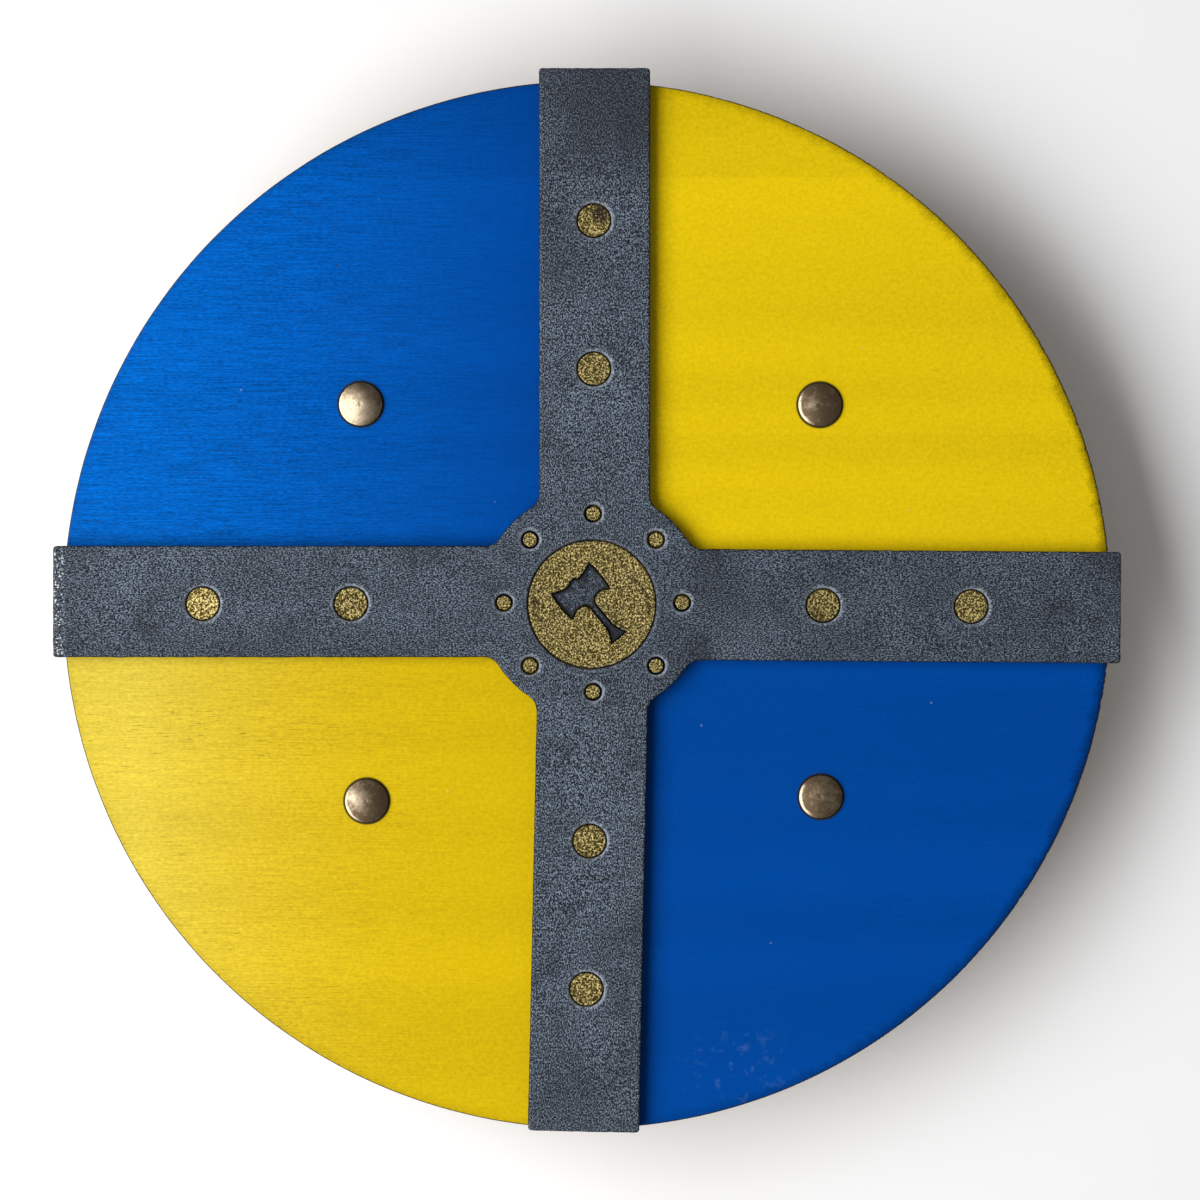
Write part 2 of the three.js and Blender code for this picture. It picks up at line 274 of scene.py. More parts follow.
# %% Start a node group
def start_group(name, kind, inputs, outputs):
    tree = bpy.data.node_groups.new(name, kind)
    for socket_name, (socket_type, value) in inputs.items():
        socket = tree.interface.new_socket(socket_name, in_out="INPUT", socket_type=socket_type)
        if value is not None:
            socket.default_value = value
    for socket_name, socket_type in outputs.items():
        tree.interface.new_socket(socket_name, in_out="OUTPUT", socket_type=socket_type)
    return tree, tree.nodes.new("NodeGroupInput").outputs


def end_group(tree, results):
    put(tree, "NodeGroupOutput", results)
    print(tree.name, "has", len(tree.nodes), "nodes")
    return tree


NUMBER = "NodeSocketFloat"
VECTOR = "NodeSocketVector"

# %% [markdown]
# Wood grain
#
# The veneer's grain runs from left to right. Under the paint it shows as short fine streaks, as dark
# dashes where the pores are, and as slow bands that are a little lighter or darker. All of them are
# noise that is squeezed across the grain and drawn out along it. Both the painted front and the bare
# back use this group.

# %% Wood grain group
FINE_STREAK = (600, 3100, 3100)
LONG_STREAK = (70, 1900, 1900)
PORE_DASH = (190, 3300, 3300)
PORE_PATCH = (14, 40, 40)
VENEER_BAND = (2.5, 45, 45)
FINE_SHARE, LONG_SHARE = 0.58, 0.42


def make_wood_grain():
    tree, given = start_group(
        "wood_grain",
        "ShaderNodeTree",
        {"Vector": (VECTOR, None), "Pore Cover": (NUMBER, 0.5)},
        {"Streak": NUMBER, "Pores": NUMBER, "Band": NUMBER, "Height": NUMBER},
    )
    place = given["Vector"]
    fine = drawn_cloud(tree, place, FINE_STREAK, 2, 0.6)
    long = drawn_cloud(tree, place, LONG_STREAK, 2, 0.5)
    streak = plus(tree, times(tree, fine, FINE_SHARE), times(tree, long, LONG_SHARE))
    dashes = ramp(tree, drawn_cloud(tree, place, PORE_DASH, 1, 0.5), 0.66, 0.74)
    patches = drawn_cloud(tree, place, PORE_PATCH, 2, 0.5)
    patches = plus(tree, patches, minus(tree, given["Pore Cover"], 0.5))
    cover = ramp(tree, patches, 0.42, 0.62)
    pores = times(tree, dashes, cover)
    height = minus(tree, streak, pores)
    results = {
        "Streak": ramp(tree, streak, 0.37, 0.63),
        "Pores": pores,
        "Band": drawn_cloud(tree, place, VENEER_BAND, 1, 0.5),
        "Height": height,
    }
    return end_group(tree, results)


wood_grain = make_wood_grain()

# %% [markdown]
# Foam grain
#
# Craft foam that was dabbed with paint has a close speckle of light and dark grains, about a third
# of a millimetre across, and slow clouds where less paint took. The speckle is one fine noise with a
# raised contrast, and the clouds are a second one. The grey and the gold foam share this group.

# %% Foam grain group
def make_foam_grain():
    tree, given = start_group(
        "foam_grain",
        "ShaderNodeTree",
        {"Vector": (VECTOR, None), "Grain": (NUMBER, 2000), "Cloud": (NUMBER, 45), "Contrast": (NUMBER, 0.2)},
        {"Grain": NUMBER, "Cloud": NUMBER, "Height": NUMBER},
    )
    place = given["Vector"]
    fine = cloud(tree, place, given["Grain"], 1, 0.5)
    low = minus(tree, 0.5, given["Contrast"])
    high = plus(tree, 0.5, given["Contrast"])
    results = {
        "Grain": ramp(tree, fine, low, high),
        "Cloud": cloud(tree, place, given["Cloud"], 2, 0.5),
        "Height": fine,
    }
    return end_group(tree, results)


foam_grain = make_foam_grain()

# %% [markdown]
# Worn edges and dust
#
# Each mesh below carries an attribute named edge, which is 1 on a rim and fades to 0 a little way in.
# Broken up by noise it becomes a mask for rubbed, stained or dirty edges, in any material. Dust is
# another mask: thin, patchy, with a few pale specks.

# %% Worn edge and dust groups
EDGE_RAGGEDNESS = 1.6
DUST_FILM = 0.004
SPECKS_TO_THE_METRE = 130
SPECK_CHANCE = (0.93, 0.94)


def cells(tree, vector, scale, channel=0):
    cell = put(tree, "ShaderNodeTexVoronoi", {"Vector": vector, "Scale": scale}).outputs
    chance = put(tree, "ShaderNodeSeparateColor", {0: cell["Color"]}).outputs[channel]
    return cell["Distance"], chance


def make_worn_edge():
    tree, given = start_group(
        "worn_edge",
        "ShaderNodeTree",
        {"Vector": (VECTOR, None), "Edge": (NUMBER, 0), "Scale": (NUMBER, 900), "Amount": (NUMBER, 0.5)},
        {"Wear": NUMBER},
    )
    rough = minus(tree, cloud(tree, given["Vector"], given["Scale"], 3, 0.65), 0.5)
    reach = plus(tree, given["Edge"], times(tree, rough, EDGE_RAGGEDNESS))
    start = minus(tree, 1.15, given["Amount"])
    wear = ramp(tree, minus(tree, reach, start), 0, 0.35)
    return end_group(tree, {"Wear": times(tree, wear, ramp(tree, given["Edge"], 0.02, 0.15))})


def make_dust():
    tree, given = start_group(
        "settled_dust",
        "ShaderNodeTree",
        {"Vector": (VECTOR, None), "Amount": (NUMBER, 0.3)},
        {"Dust": NUMBER},
    )
    film = ramp(tree, cloud(tree, given["Vector"], 28, 4, 0.6), 0.45, 0.75)
    away, chance = cells(tree, given["Vector"], SPECKS_TO_THE_METRE)
    specks = times(tree, ramp(tree, away, 0.055, 0.03), ramp(tree, chance, *SPECK_CHANCE))
    both = plus(tree, times(tree, film, DUST_FILM), specks)
    return end_group(tree, {"Dust": times(tree, both, given["Amount"], clamp=True)})


worn_edge = make_worn_edge()
settled_dust = make_dust()

# %% [markdown]
# Starting and ending a material
#
# Every pattern reads Object coordinates in metres. All pieces stay at the origin, so a pattern lies
# still on its piece, and its scale can be read as grains to the metre. Values that are the same all
# over a surface are set on the shader itself.

# %% Material helpers
def start_material(name):
    material = bpy.data.materials.new(name)
    material.use_nodes = True
    tree = material.node_tree
    place = put(tree, "ShaderNodeTexCoord").outputs["Object"]
    return material, tree, place


def grouped(tree, group, **sockets):
    named = {name.replace("_", " "): value for name, value in sockets.items()}
    return put(tree, "ShaderNodeGroup", named, node_tree=group).outputs


def worn(tree, place, scale, amount):
    rim = attribute(tree, "edge")
    return grouped(tree, worn_edge, Vector=place, Edge=rim, Scale=scale, Amount=amount)["Wear"]


def dusted(tree, place, colour, amount, dust_colour):
    dust = grouped(tree, settled_dust, Vector=place, Amount=amount)["Dust"]
    return tint(tree, dust, colour, dust_colour)


def lay_on(tree, colour, roughness, height, depth, strength=1.0, metallic=None, **even):
    shader = tree.nodes["Principled BSDF"]
    tree.links.new(colour, shader.inputs["Base Color"])
    tree.links.new(roughness, shader.inputs["Roughness"])
    if metallic is not None:
        tree.links.new(metallic, shader.inputs["Metallic"])
    bump = put(tree, "ShaderNodeBump", {"Strength": strength, "Distance": depth, "Height": height})
    tree.links.new(bump.outputs[0], shader.inputs["Normal"])
    for name, value in even.items():
        shader.inputs[name.replace("_", " ")].default_value = value


# %% [markdown]
# Painted plywood
#
# The front is painted in quarters that meet under the cross. An image could hold them, but the border
# is only the sign of x times y measured from the hub, and a few nodes find it exactly. Towards the left
# the satin paint is paler and its grain shows more: partly thinner paint, and partly painted light and
# sheen from the window at the left. The paint runs a little way over the rim in a ragged line, and under
# it the plies show in turn: light, browner, and so on.

# %% Colours of the quarters
BLUE_THIN_LIT, BLUE_THICK_SHADED = (0.0003, 0.122, 0.53), (0.0002, 0.061, 0.325)
YELLOW_RIGHT, YELLOW_LEFT = (0.76, 0.535, 0.004), (0.67, 0.462, 0.004)
YELLOW_THIN_SHEEN = (0.77, 0.585, 0.06)
THIN_AND_LIT_FROM, THIN_AND_LIT_TO = -15 * MM, -150 * MM
PAINT_MOTTLE = (800, 2, 0.6)
VENEER_JOINT, PALE_LINE = 142.6 * MM, 58 * MM


def quartered_colour(tree, axes, thin_and_lit):
    across = minus(tree, axes[0], HUB.x)
    up = minus(tree, axes[1], HUB.y)
    blue_quarter = calc(tree, "LESS_THAN", times(tree, across, up), 0)
    left_half = calc(tree, "LESS_THAN", across, 0)
    # Paler blue and yellow at the left are painted light and sheen of the window, partly thinner paint.
    blue = tint(tree, thin_and_lit, BLUE_THICK_SHADED, BLUE_THIN_LIT)
    yellow = tint(tree, left_half, YELLOW_RIGHT, YELLOW_LEFT)
    yellow = tint(tree, calc(tree, "POWER", thin_and_lit, 3), yellow, YELLOW_THIN_SHEEN)
    return tint(tree, blue_quarter, yellow, blue), blue_quarter


def paint_shade(tree, place, axes, grain, thin_and_lit, blue_quarter):
    # The grain shows more at the left: partly thinner paint, partly painted sheen.
    strength = ramp(tree, thin_and_lit, 0, 0.6, 0.14, 0.8)
    strength = times(tree, strength, ramp(tree, blue_quarter, 0, 1, 0.38, 1))
    streak = times(tree, minus(tree, grain["Streak"], 0.5), strength)
    mottle = minus(tree, cloud(tree, place, *PAINT_MOTTLE), 0.5)
    mottle = times(tree, mottle, ramp(tree, blue_quarter, 0, 1, 0.4, 0.1))
    band = ramp(tree, grain["Band"], 0.35, 0.65, 0.05, -0.05)
    joint = ramp(tree, axes[1], VENEER_JOINT, VENEER_JOINT + 0.5 * MM, 1, 0.92)
    off_line = calc(tree, "ABSOLUTE", minus(tree, axes[1], PALE_LINE))
    line = ramp(tree, off_line, 1.5 * MM, 0, 0, 0.03)
    fine = plus(tree, plus(tree, streak, mottle), band)
    return plus(tree, fine, plus(tree, joint, line))


print("quarters meet at mm:", [round(value / MM, 1) for value in HUB.xy])

# %% [markdown]
# Small marks lie on the paint: open pores, a dark ring round each cap, a few brown specks, and one
# pale scuff low on the right. The ring is partly grime and partly painted shadow of the gap under the
# cap. Each mark is a mask that tints what is under it.

# %% Marks on the paint
PORE_COLOUR = (0.02, 0.02, 0.015)
STAIN_AND_SHADE_DARK = (0.02, 0.022, 0.012)
SPECK_BROWN = (0.03, 0.02, 0.01)
PAINT_SPECKS = (62, 0.028, 0.12)
SCUFF_BREAKS = (260, 5, 0.7)
SCUFF_PALE = (0.25, 0.45, 0.65)
SCUFF_PLACE = (51 * MM, -157 * MM, BOARD_HIGH.z)
SCUFF_REACH = 24 * MM
RING_START, RING_END = 0.35 * MM, 0.75 * MM


def scattered(tree, place, density, radius, share):
    away, chance = cells(tree, place, density, 1)
    return times(tree, ramp(tree, away, radius, 0.6 * radius), calc(tree, "LESS_THAN", chance, share))


def nearest_rivet(tree, place):
    nearest = 1.0
    for rivet in RIVET_PLACES:
        centre = (*middle("rivet_" + rivet).xy, BOARD_HIGH.z)
        nearest = calc(tree, "MINIMUM", distance_to(tree, place, centre), nearest)
    return nearest


def marked(tree, place, paint, grain, thin_and_lit):
    pores = times(tree, grain["Pores"], ramp(tree, thin_and_lit, 0.1, 0.8, 0, 0.5))
    paint = tint(tree, pores, paint, PORE_COLOUR)
    # The dark ring round each cap: partly grime, partly painted shadow of the gap under the cap.
    around_caps = minus(tree, nearest_rivet(tree, place), width("rivet_upper_left") / 2)
    paint = tint(tree, ramp(tree, around_caps, RING_END, RING_START, 0, 0.9), paint, STAIN_AND_SHADE_DARK)
    paint = tint(tree, scattered(tree, place, *PAINT_SPECKS), paint, SPECK_BROWN)
    scuff = ramp(tree, cloud(tree, place, *SCUFF_BREAKS), 0.55, 0.75, 0, 0.16)
    from_scuff = distance_to(tree, place, SCUFF_PLACE)
    scuff = times(tree, scuff, ramp(tree, from_scuff, SCUFF_REACH, 0.2 * SCUFF_REACH))
    return tint(tree, scuff, paint, SCUFF_PALE)


print("caps with paint gathered round them:", len(RIVET_PLACES))

# %% [markdown]
# The rim gets darker towards the right, and a thin black line runs along its arris. Below the ragged
# end of the paint the five plies show.

# %% Rim of the board
PLY_COUNT = 5
PLY_LIGHT, PLY_DARK, PLY_FIBRE = (0.50, 0.33, 0.17), (0.26, 0.145, 0.065), (0.1, 0.05, 0.02)
DARKENED_FROM, TORN_FROM, RIM_RIGHT = 0, 40 * MM, 165 * MM
PAINT_OVERRUN, PAINT_RAGGED = 1.5 * MM, 1.6 * MM
RIM_FUZZ = (1800, 2, 0.6)
PLY_FIBRES = (1500, 3, 0.6)
RAGGED_END = (420, 3, 0.6)
PAINT_DUST = (0.55, 0.55, 0.52)


def darkened_rim(tree, place, across, paint):
    rim = attribute(tree, "edge")
    fuzz = plus(tree, rim, minus(tree, cloud(tree, place, *RIM_FUZZ), 0.5))
    # The rim is darker towards the right.
    to_right = ramp(tree, across, DARKENED_FROM, RIM_RIGHT, 0.15, 0.62)
    darkening = times(tree, ramp(tree, fuzz, 0.12, 0.7), to_right)
    paint = shaded(tree, paint, minus(tree, 1, darkening))
    torn = ramp(tree, across, TORN_FROM, RIM_RIGHT, 0.4, 0.5)
    stain_and_shade = times(tree, worn(tree, place, 1500, torn), 0.6)
    arris = ramp(tree, rim, 0.8, 0.86, 0, 0.9)
    return tint(tree, calc(tree, "MAXIMUM", stain_and_shade, arris), paint, STAIN_AND_SHADE_DARK)


def raw_plies(tree, place, height):
    turn = calc(tree, "FLOOR", ramp(tree, height, BOARD_LOW.z, BOARD_HIGH.z, 0, PLY_COUNT))
    plies = tint(tree, calc(tree, "MODULO", turn, 2), PLY_LIGHT, PLY_DARK)
    fibres = ramp(tree, cloud(tree, place, *PLY_FIBRES), 0.35, 0.65, 0, 0.45)
    return tint(tree, fibres, plies, PLY_FIBRE)


def below_paint(tree, place, height):
    ragged = times(tree, cloud(tree, place, *RAGGED_END), PAINT_RAGGED)
    paint_end = plus(tree, ragged, BOARD_HIGH.z - PAINT_OVERRUN - PAINT_RAGGED / 2)
    return calc(tree, "LESS_THAN", height, paint_end)


print("thickness of one ply in mm:", round((BOARD_HIGH.z - BOARD_LOW.z) / PLY_COUNT / MM, 2))

# %% [markdown]
# The whole finish lays these steps over each other, from the paint's own colour to the dust on top.
# A streak is also a slight ridge, so the grain feeds the bump and the sheen as well.

# %% Painted plywood
def make_painted_plywood():
    material, tree, place = start_material("quartered_paint")
    grain = grouped(tree, wood_grain, Vector=place, Pore_Cover=0.5)
    axes = put(tree, "ShaderNodeSeparateXYZ", {0: place}).outputs
    # This mask grows towards the left: partly thinner paint, partly painted light and sheen from the window.
    thin_and_lit = ramp(tree, axes[0], THIN_AND_LIT_FROM, THIN_AND_LIT_TO)
    paint, blue_quarter = quartered_colour(tree, axes, thin_and_lit)
    paint = shaded(tree, paint, paint_shade(tree, place, axes, grain, thin_and_lit, blue_quarter))
    paint = marked(tree, place, paint, grain, thin_and_lit)
    paint = darkened_rim(tree, place, axes[0], paint)
    bare = below_paint(tree, place, axes[2])
    colour = tint(tree, bare, paint, raw_plies(tree, place, axes[2]))
    colour = dusted(tree, place, colour, 0.25, PAINT_DUST)
    sheen = ramp(tree, grain["Streak"], 0, 1, 0.42, 0.34)
    roughness = plus(tree, sheen, times(tree, bare, 0.3), clamp=True)
    height = grain["Height"]
    lay_on(tree, colour, roughness, height, depth=0.1 * MM, strength=0.5, Specular_IOR_Level=0.025)
    return material


painted_plywood = make_painted_plywood()

# %% [markdown]
# Bare plywood
#
# The back was left as it came from the mill: pale poplar veneer with brown streaks along the grain,
# and a few darker bands. It is the wood grain group again, with wood colours and more open pores.

# %% Bare plywood
VENEER_PALE, VENEER_BROWN, VENEER_RING = (0.60, 0.42, 0.235), (0.40, 0.245, 0.115), (0.25, 0.13, 0.05)
OPEN_PORE, HANDLED_VENEER = (0.12, 0.06, 0.025), (0.12, 0.07, 0.03)
RING_STRETCH = (7, 110, 110)


def make_bare_plywood():
    material, tree, place = start_material("bare_veneer")
    grain = grouped(tree, wood_grain, Vector=place, Pore_Cover=0.62)
    colour = tint(tree, grain["Streak"], VENEER_BROWN, VENEER_PALE)
    rings = ramp(tree, drawn_cloud(tree, place, RING_STRETCH, 4, 0.6), 0.4, 0.66, 0, 0.4)
    colour = tint(tree, rings, colour, VENEER_RING)
    colour = tint(tree, times(tree, grain["Pores"], 0.55), colour, OPEN_PORE)
    colour = tint(tree, times(tree, worn(tree, place, 500, 0.4), 0.5), colour, HANDLED_VENEER)
    roughness = ramp(tree, grain["Streak"], 0, 1, 0.78, 0.62)
    lay_on(tree, colour, roughness, grain["Height"], depth=0.2 * MM, strength=0.6)
    return material


bare_plywood = make_bare_plywood()

# %% [markdown]
# Grey foam and gold foam
#
# Both foams start black and get their colour from a sponge, so dark foam shows between the grains of
# paint. The attribute named face is 1 on the front and 0 on the cut walls, which the sponge missed.
# Soot from handling darkens the grey in patches, and on the axe the same value also holds painted
# shade. Its outer edge is painted black, a painted shade line along the rounded rim. The lips round its
# punched holes are painted pale, partly rubbed wear and partly a painted highlight where a lip catches
# the window, and painted white glints are strewn along the left end.

# %% Grey foam
FOAM_BLACK, FOAM_LIP_HIGHLIGHT, FOAM_DUST = (0.010, 0.011, 0.014), (0.42, 0.47, 0.54), (0.5, 0.5, 0.5)
GREY_GRAIN_DARK, GREY_GRAIN_LIGHT = (0.004, 0.006, 0.010), (0.235, 0.295, 0.385)
SMUDGES = (85, 3, 0.65)
GLINT_FLECKS = (1500, 1, 0.5)
GLINT_FLECK_WHITE = (0.8, 0.83, 0.87)
GLINT_FLECK_SPREAD = (0.61, 0.66)
GLINT_FLECKS_FROM, GLINT_FLECKS_TO = -175.4 * MM, -177.2 * MM


def with_the_nap(tree, place, axes):
    lying = calc(tree, "GREATER_THAN", calc(tree, "ABSOLUTE", axes[0]), calc(tree, "ABSOLUTE", axes[1]))
    across, along = ramp(tree, lying, 0, 1, 1.2, 0.8), ramp(tree, lying, 0, 1, 0.8, 1.2)
    nap = put(tree, "ShaderNodeCombineXYZ", {0: across, 1: along, 2: 1.0}).outputs[0]
    return vector_calc(tree, "MULTIPLY", place, nap)


def missed_walls(tree, strength):
    return times(tree, minus(tree, 1, attribute(tree, "face"), clamp=True), strength)


def foam_rims(tree, place, across, colour):
    rim, punched = attribute(tree, "edge"), attribute(tree, "punched")
    # The pale lips round punched holes: partly rubbed wear, partly a painted highlight where a lip catches
    # the window.
    lip = times(tree, worn(tree, place, 1300, 0.5), attribute(tree, "face"))
    lip = times(tree, times(tree, lip, punched), 0.6)
    colour = tint(tree, lip, colour, FOAM_LIP_HIGHLIGHT)
    # White flecks at the left end are painted glints.
    glint_flecks = ramp(tree, cloud(tree, place, *GLINT_FLECKS), *GLINT_FLECK_SPREAD)
    glint_flecks = times(tree, glint_flecks, ramp(tree, across, GLINT_FLECKS_FROM, GLINT_FLECKS_TO))
    colour = tint(tree, glint_flecks, colour, GLINT_FLECK_WHITE)
    # The outer rim is painted black: a painted shade line along the rounded edge.
    outer = times(tree, ramp(tree, rim, 0.8, 0.93, 0, 0.8), minus(tree, 1, punched, clamp=True))
    return tint(tree, outer, colour, FOAM_BLACK)


def make_grey_foam():
    material, tree, place = start_material("sponged_grey_foam")
    axes = put(tree, "ShaderNodeSeparateXYZ", {0: vector_calc(tree, "SUBTRACT", place, HUB)}).outputs
    napped = with_the_nap(tree, place, axes)
    grain = grouped(tree, foam_grain, Vector=napped, Grain=2100, Cloud=42, Contrast=0.135)
    cover = ramp(tree, grain["Cloud"], 0.32, 0.6, 0.7, 1)
    dots = times(tree, calc(tree, "POWER", grain["Grain"], 2.25), cover)
    colour = tint(tree, dots, GREY_GRAIN_DARK, GREY_GRAIN_LIGHT)
    smudge = ramp(tree, cloud(tree, place, *SMUDGES), 0.56, 0.74, 0, 0.45)
    # The soot value also carries the axe's painted shade.
    for dirt_and_shade in (smudge, attribute(tree, "soot_and_shade"), missed_walls(tree, 0.9)):
        colour = tint(tree, dirt_and_shade, colour, FOAM_BLACK)
    colour = foam_rims(tree, place, axes[0], colour)
    colour = dusted(tree, place, colour, 0.12, FOAM_DUST)
    roughness = ramp(tree, grain["Grain"], 0, 1, 0.7, 0.42)
    height = grain["Height"]
    lay_on(tree, colour, roughness, height, depth=0.25 * MM, strength=0.8, Specular_IOR_Level=0.2)
    return material


grey_foam = make_grey_foam()

# %% [markdown]
# Gold paint holds metal powder: its grains are partly metallic, and some of them glint. They are
# larger than the grey ones, from light yellow to an olive brown. Each disc carries its own tone,
# because some took more paint than others. Brown shows where the gold rubbed off, as on one disc of
# the top arm and in the scuffs of the medallion.

# %% Gold foam
GOLD_GRAIN_DARK, GOLD_GRAIN_LIGHT = (0.045, 0.03, 0.002), (0.63, 0.505, 0.2)
GOLD_RUBBED = (0.022, 0.012, 0.005)
BARE_SPOT_BREAKS = (900, 3, 0.7)
BROWN_BREAKS = (1300, 2, 0.6)
BARE_SPOT_SHIFT = Vector((2.2, 2.2, 0)) * MM


def rubbed_gold(tree, place):
    spot = middle("arm_disc_top_outer") + BARE_SPOT_SHIFT
    bare = ramp(tree, distance_to(tree, place, (*spot.xy, CROSS_HIGH.z)), 4 * MM, 2.2 * MM)
    bare = times(tree, bare, ramp(tree, cloud(tree, place, *BARE_SPOT_BREAKS), 0.36, 0.5))
    scuffed = ramp(tree, cloud(tree, place, *BROWN_BREAKS), 0.36, 0.48, 0.5, 1)
    return calc(tree, "MAXIMUM", bare, times(tree, attribute(tree, "scuff"), scuffed))


def make_gold_foam():
    material, tree, place = start_material("sponged_gold_foam")
    grain = grouped(tree, foam_grain, Vector=place, Grain=1750, Cloud=130, Contrast=0.14)
    colour = tint(tree, calc(tree, "POWER", grain["Grain"], 2.1), GOLD_GRAIN_DARK, GOLD_GRAIN_LIGHT)
    colour = shaded(tree, colour, attribute(tree, "tone"))
    rubbed = ramp(tree, grain["Cloud"], 0.6, 0.8, 0, 0.35)
    gone = calc(tree, "MAXIMUM", rubbed, times(tree, worn(tree, place, 420, 0.25), 0.7))
    gone = calc(tree, "MAXIMUM", gone, times(tree, rubbed_gold(tree, place), 0.97))
    colour = tint(tree, gone, colour, GOLD_RUBBED)
    colour = tint(tree, missed_walls(tree, 0.85), colour, FOAM_BLACK)
    metal = times(tree, minus(tree, 1, gone), 0.4)
    metal = times(tree, metal, attribute(tree, "face"), clamp=True)
    roughness = ramp(tree, grain["Grain"], 0, 1, 0.65, 0.42)
    height = grain["Height"]
    lay_on(tree, colour, roughness, height, 0.5 * MM, 0.9, metallic=metal, Specular_IOR_Level=0.18)
    return material


gold_foam = make_gold_foam()

# %% [markdown]
# Antique brass
#
# The caps are sheet brass with a brown finish that was polished off the crowns. Patches of it are
# left and there are small pits. The rolled rim is painted nearly black, partly patina and partly painted
# shadow of the gap under the cap. How brown each point is comes with the mesh: every cap is bright in
# a place of its own on the window's side, partly real polish and partly painted reflection of the window.

# %% Antique brass
BRASS_BRIGHT, BRASS_BROWN = (0.46, 0.37, 0.26), (0.135, 0.095, 0.056)
PITS_TO_THE_METRE, PITLESS_SHARE = 900, 0.8
BROWN_PATCHES = (430, 5, 0.7)
BRASS_GRAIN = (1200, 2, 0.5)
BRASS_BLACK = (0.010, 0.008, 0.006)


def make_antique_brass():
    material, tree, place = start_material("worn_brass")
    patches = ramp(tree, cloud(tree, place, *BROWN_PATCHES), 0.3, 0.7, -0.4, 0.4)
    patches = plus(tree, patches, attribute(tree, "patina_and_highlight"), clamp=True)
    colour = tint(tree, patches, BRASS_BRIGHT, BRASS_BROWN)
    away, chance = cells(tree, place, PITS_TO_THE_METRE)
    pits = times(tree, ramp(tree, away, 0.22, 0.12), calc(tree, "GREATER_THAN", chance, PITLESS_SHARE))
    colour = tint(tree, times(tree, pits, 0.7), colour, BRASS_BLACK)
    # The rolled rim is painted nearly black: painted shadow of the gap under the cap, partly patina.
    stain_and_shade = ramp(tree, attribute(tree, "edge"), 0.62, 0.85, 0, 0.95)
    colour = tint(tree, stain_and_shade, colour, BRASS_BLACK)
    roughness = plus(tree, ramp(tree, patches, 0, 1, 0.42, 0.62), times(tree, stain_and_shade, 0.3))
    height = minus(tree, times(tree, cloud(tree, place, *BRASS_GRAIN), 0.3), pits)
    lay_on(tree, colour, roughness, height, depth=0.08 * MM, strength=0.6, Metallic=1.0)
    return material


antique_brass = make_antique_brass()

# %% [markdown]
# Strap leather
#
# The straps are brown vegetable-tanned leather. Its grain is a net of small cells, its edges are
# burnished dark, and the bends are rubbed lighter. The attribute named edge marks the sides again.

# %% Strap leather
LEATHER_DEEP, LEATHER_LIGHT = (0.085, 0.036, 0.015), (0.19, 0.088, 0.038)
LEATHER_EDGE, LEATHER_RUBBED = (0.022, 0.010, 0.006), (0.33, 0.19, 0.10)
CELLS_TO_THE_METRE = 1050
LEATHER_MOTTLE = (110, 4, 0.6)
LEATHER_DUST = (0.4, 0.35, 0.3)


def make_strap_leather():
    material, tree, place = start_material("brown_leather")
    cell = put(tree, "ShaderNodeTexVoronoi", {"Vector": place, "Scale": CELLS_TO_THE_METRE})
    net = ramp(tree, cell.outputs["Distance"], 0.15, 0.6)
    mottle = cloud(tree, place, *LEATHER_MOTTLE)
    colour = tint(tree, ramp(tree, mottle, 0.35, 0.65), LEATHER_DEEP, LEATHER_LIGHT)
    colour = tint(tree, times(tree, net, 0.35), colour, LEATHER_EDGE)
    rubbed = times(tree, attribute(tree, "bend"), ramp(tree, mottle, 0.3, 0.6, 0.1, 0.5))
    colour = tint(tree, rubbed, colour, LEATHER_RUBBED)
    burnished = worn(tree, place, 500, 0.6)
    colour = tint(tree, times(tree, burnished, 0.85), colour, LEATHER_EDGE)
    colour = dusted(tree, place, colour, 0.3, LEATHER_DUST)
    roughness = ramp(tree, net, 0, 1, 0.46, 0.62)
    roughness = minus(tree, roughness, times(tree, burnished, 0.15))
    height = minus(tree, mottle, net)
    lay_on(tree, colour, roughness, height, depth=0.12 * MM, strength=0.7)
    return material


strap_leather = make_strap_leather()
print("materials:", [m.name for m in bpy.data.materials])

# %% [markdown]
# Outlines off the solids
#
# The cross, the medallion and the axe are flat pieces cut along a drawn outline. Their solids have it
# already, as the creased edges that lie at one level. Reading it there keeps each fine piece on its
# solid. The solids' arcs are made of a few straight steps, so short steps are bent round again with
# smooth curve pieces, while long edges stay straight and sharp corners stay sharp.

# %% Read outlines
CREASE = 0.2


def creased_loops(node, level):
    solid = bmesh.new()
    solid.from_mesh(nodes[node].data)
    bmesh.ops.remove_doubles(solid, verts=solid.verts, dist=0.001 * MM)
    flat = {v for v in solid.verts if abs(v.co.z - level) < 0.01 * MM}
    steps = {}
    for edge in solid.edges:
        a, b = edge.verts
        if a in flat and b in flat and len(edge.link_faces) == 2 and edge.calc_face_angle(0) > CREASE:
            steps.setdefault(a, []).append(b)
            steps.setdefault(b, []).append(a)
    loops = []
    while steps:
        first, (here, _) = next(iter(steps.items()))
        loop = [first]
        before = first
        while here is not first:
            loop.append(here)
            before, here = here, next(v for v in steps[here] if v is not before)
        for vert in loop:
            del steps[vert]
        loops.append(np.array([(v.co.x, v.co.y) for v in loop]))
    solid.free()
    return sorted(loops, key=lambda loop: -np.ptp(loop[:, 0]))


cross_outline = creased_loops("foam_cross", CROSS_LOW.z + 0.4 * MM)
print("points in the cross's outline:", [len(loop) for loop in cross_outline])

# %% [markdown]
# Easing an outline needs to know which way it runs round, and how much it turns at each corner. Each
# step between two corners becomes a cubic curve, whose ends point along the tangents there.

# %% Ease outlines
STRAIGHT_EDGE = 4.5 * MM
SHARP_CORNER = math.radians(38)


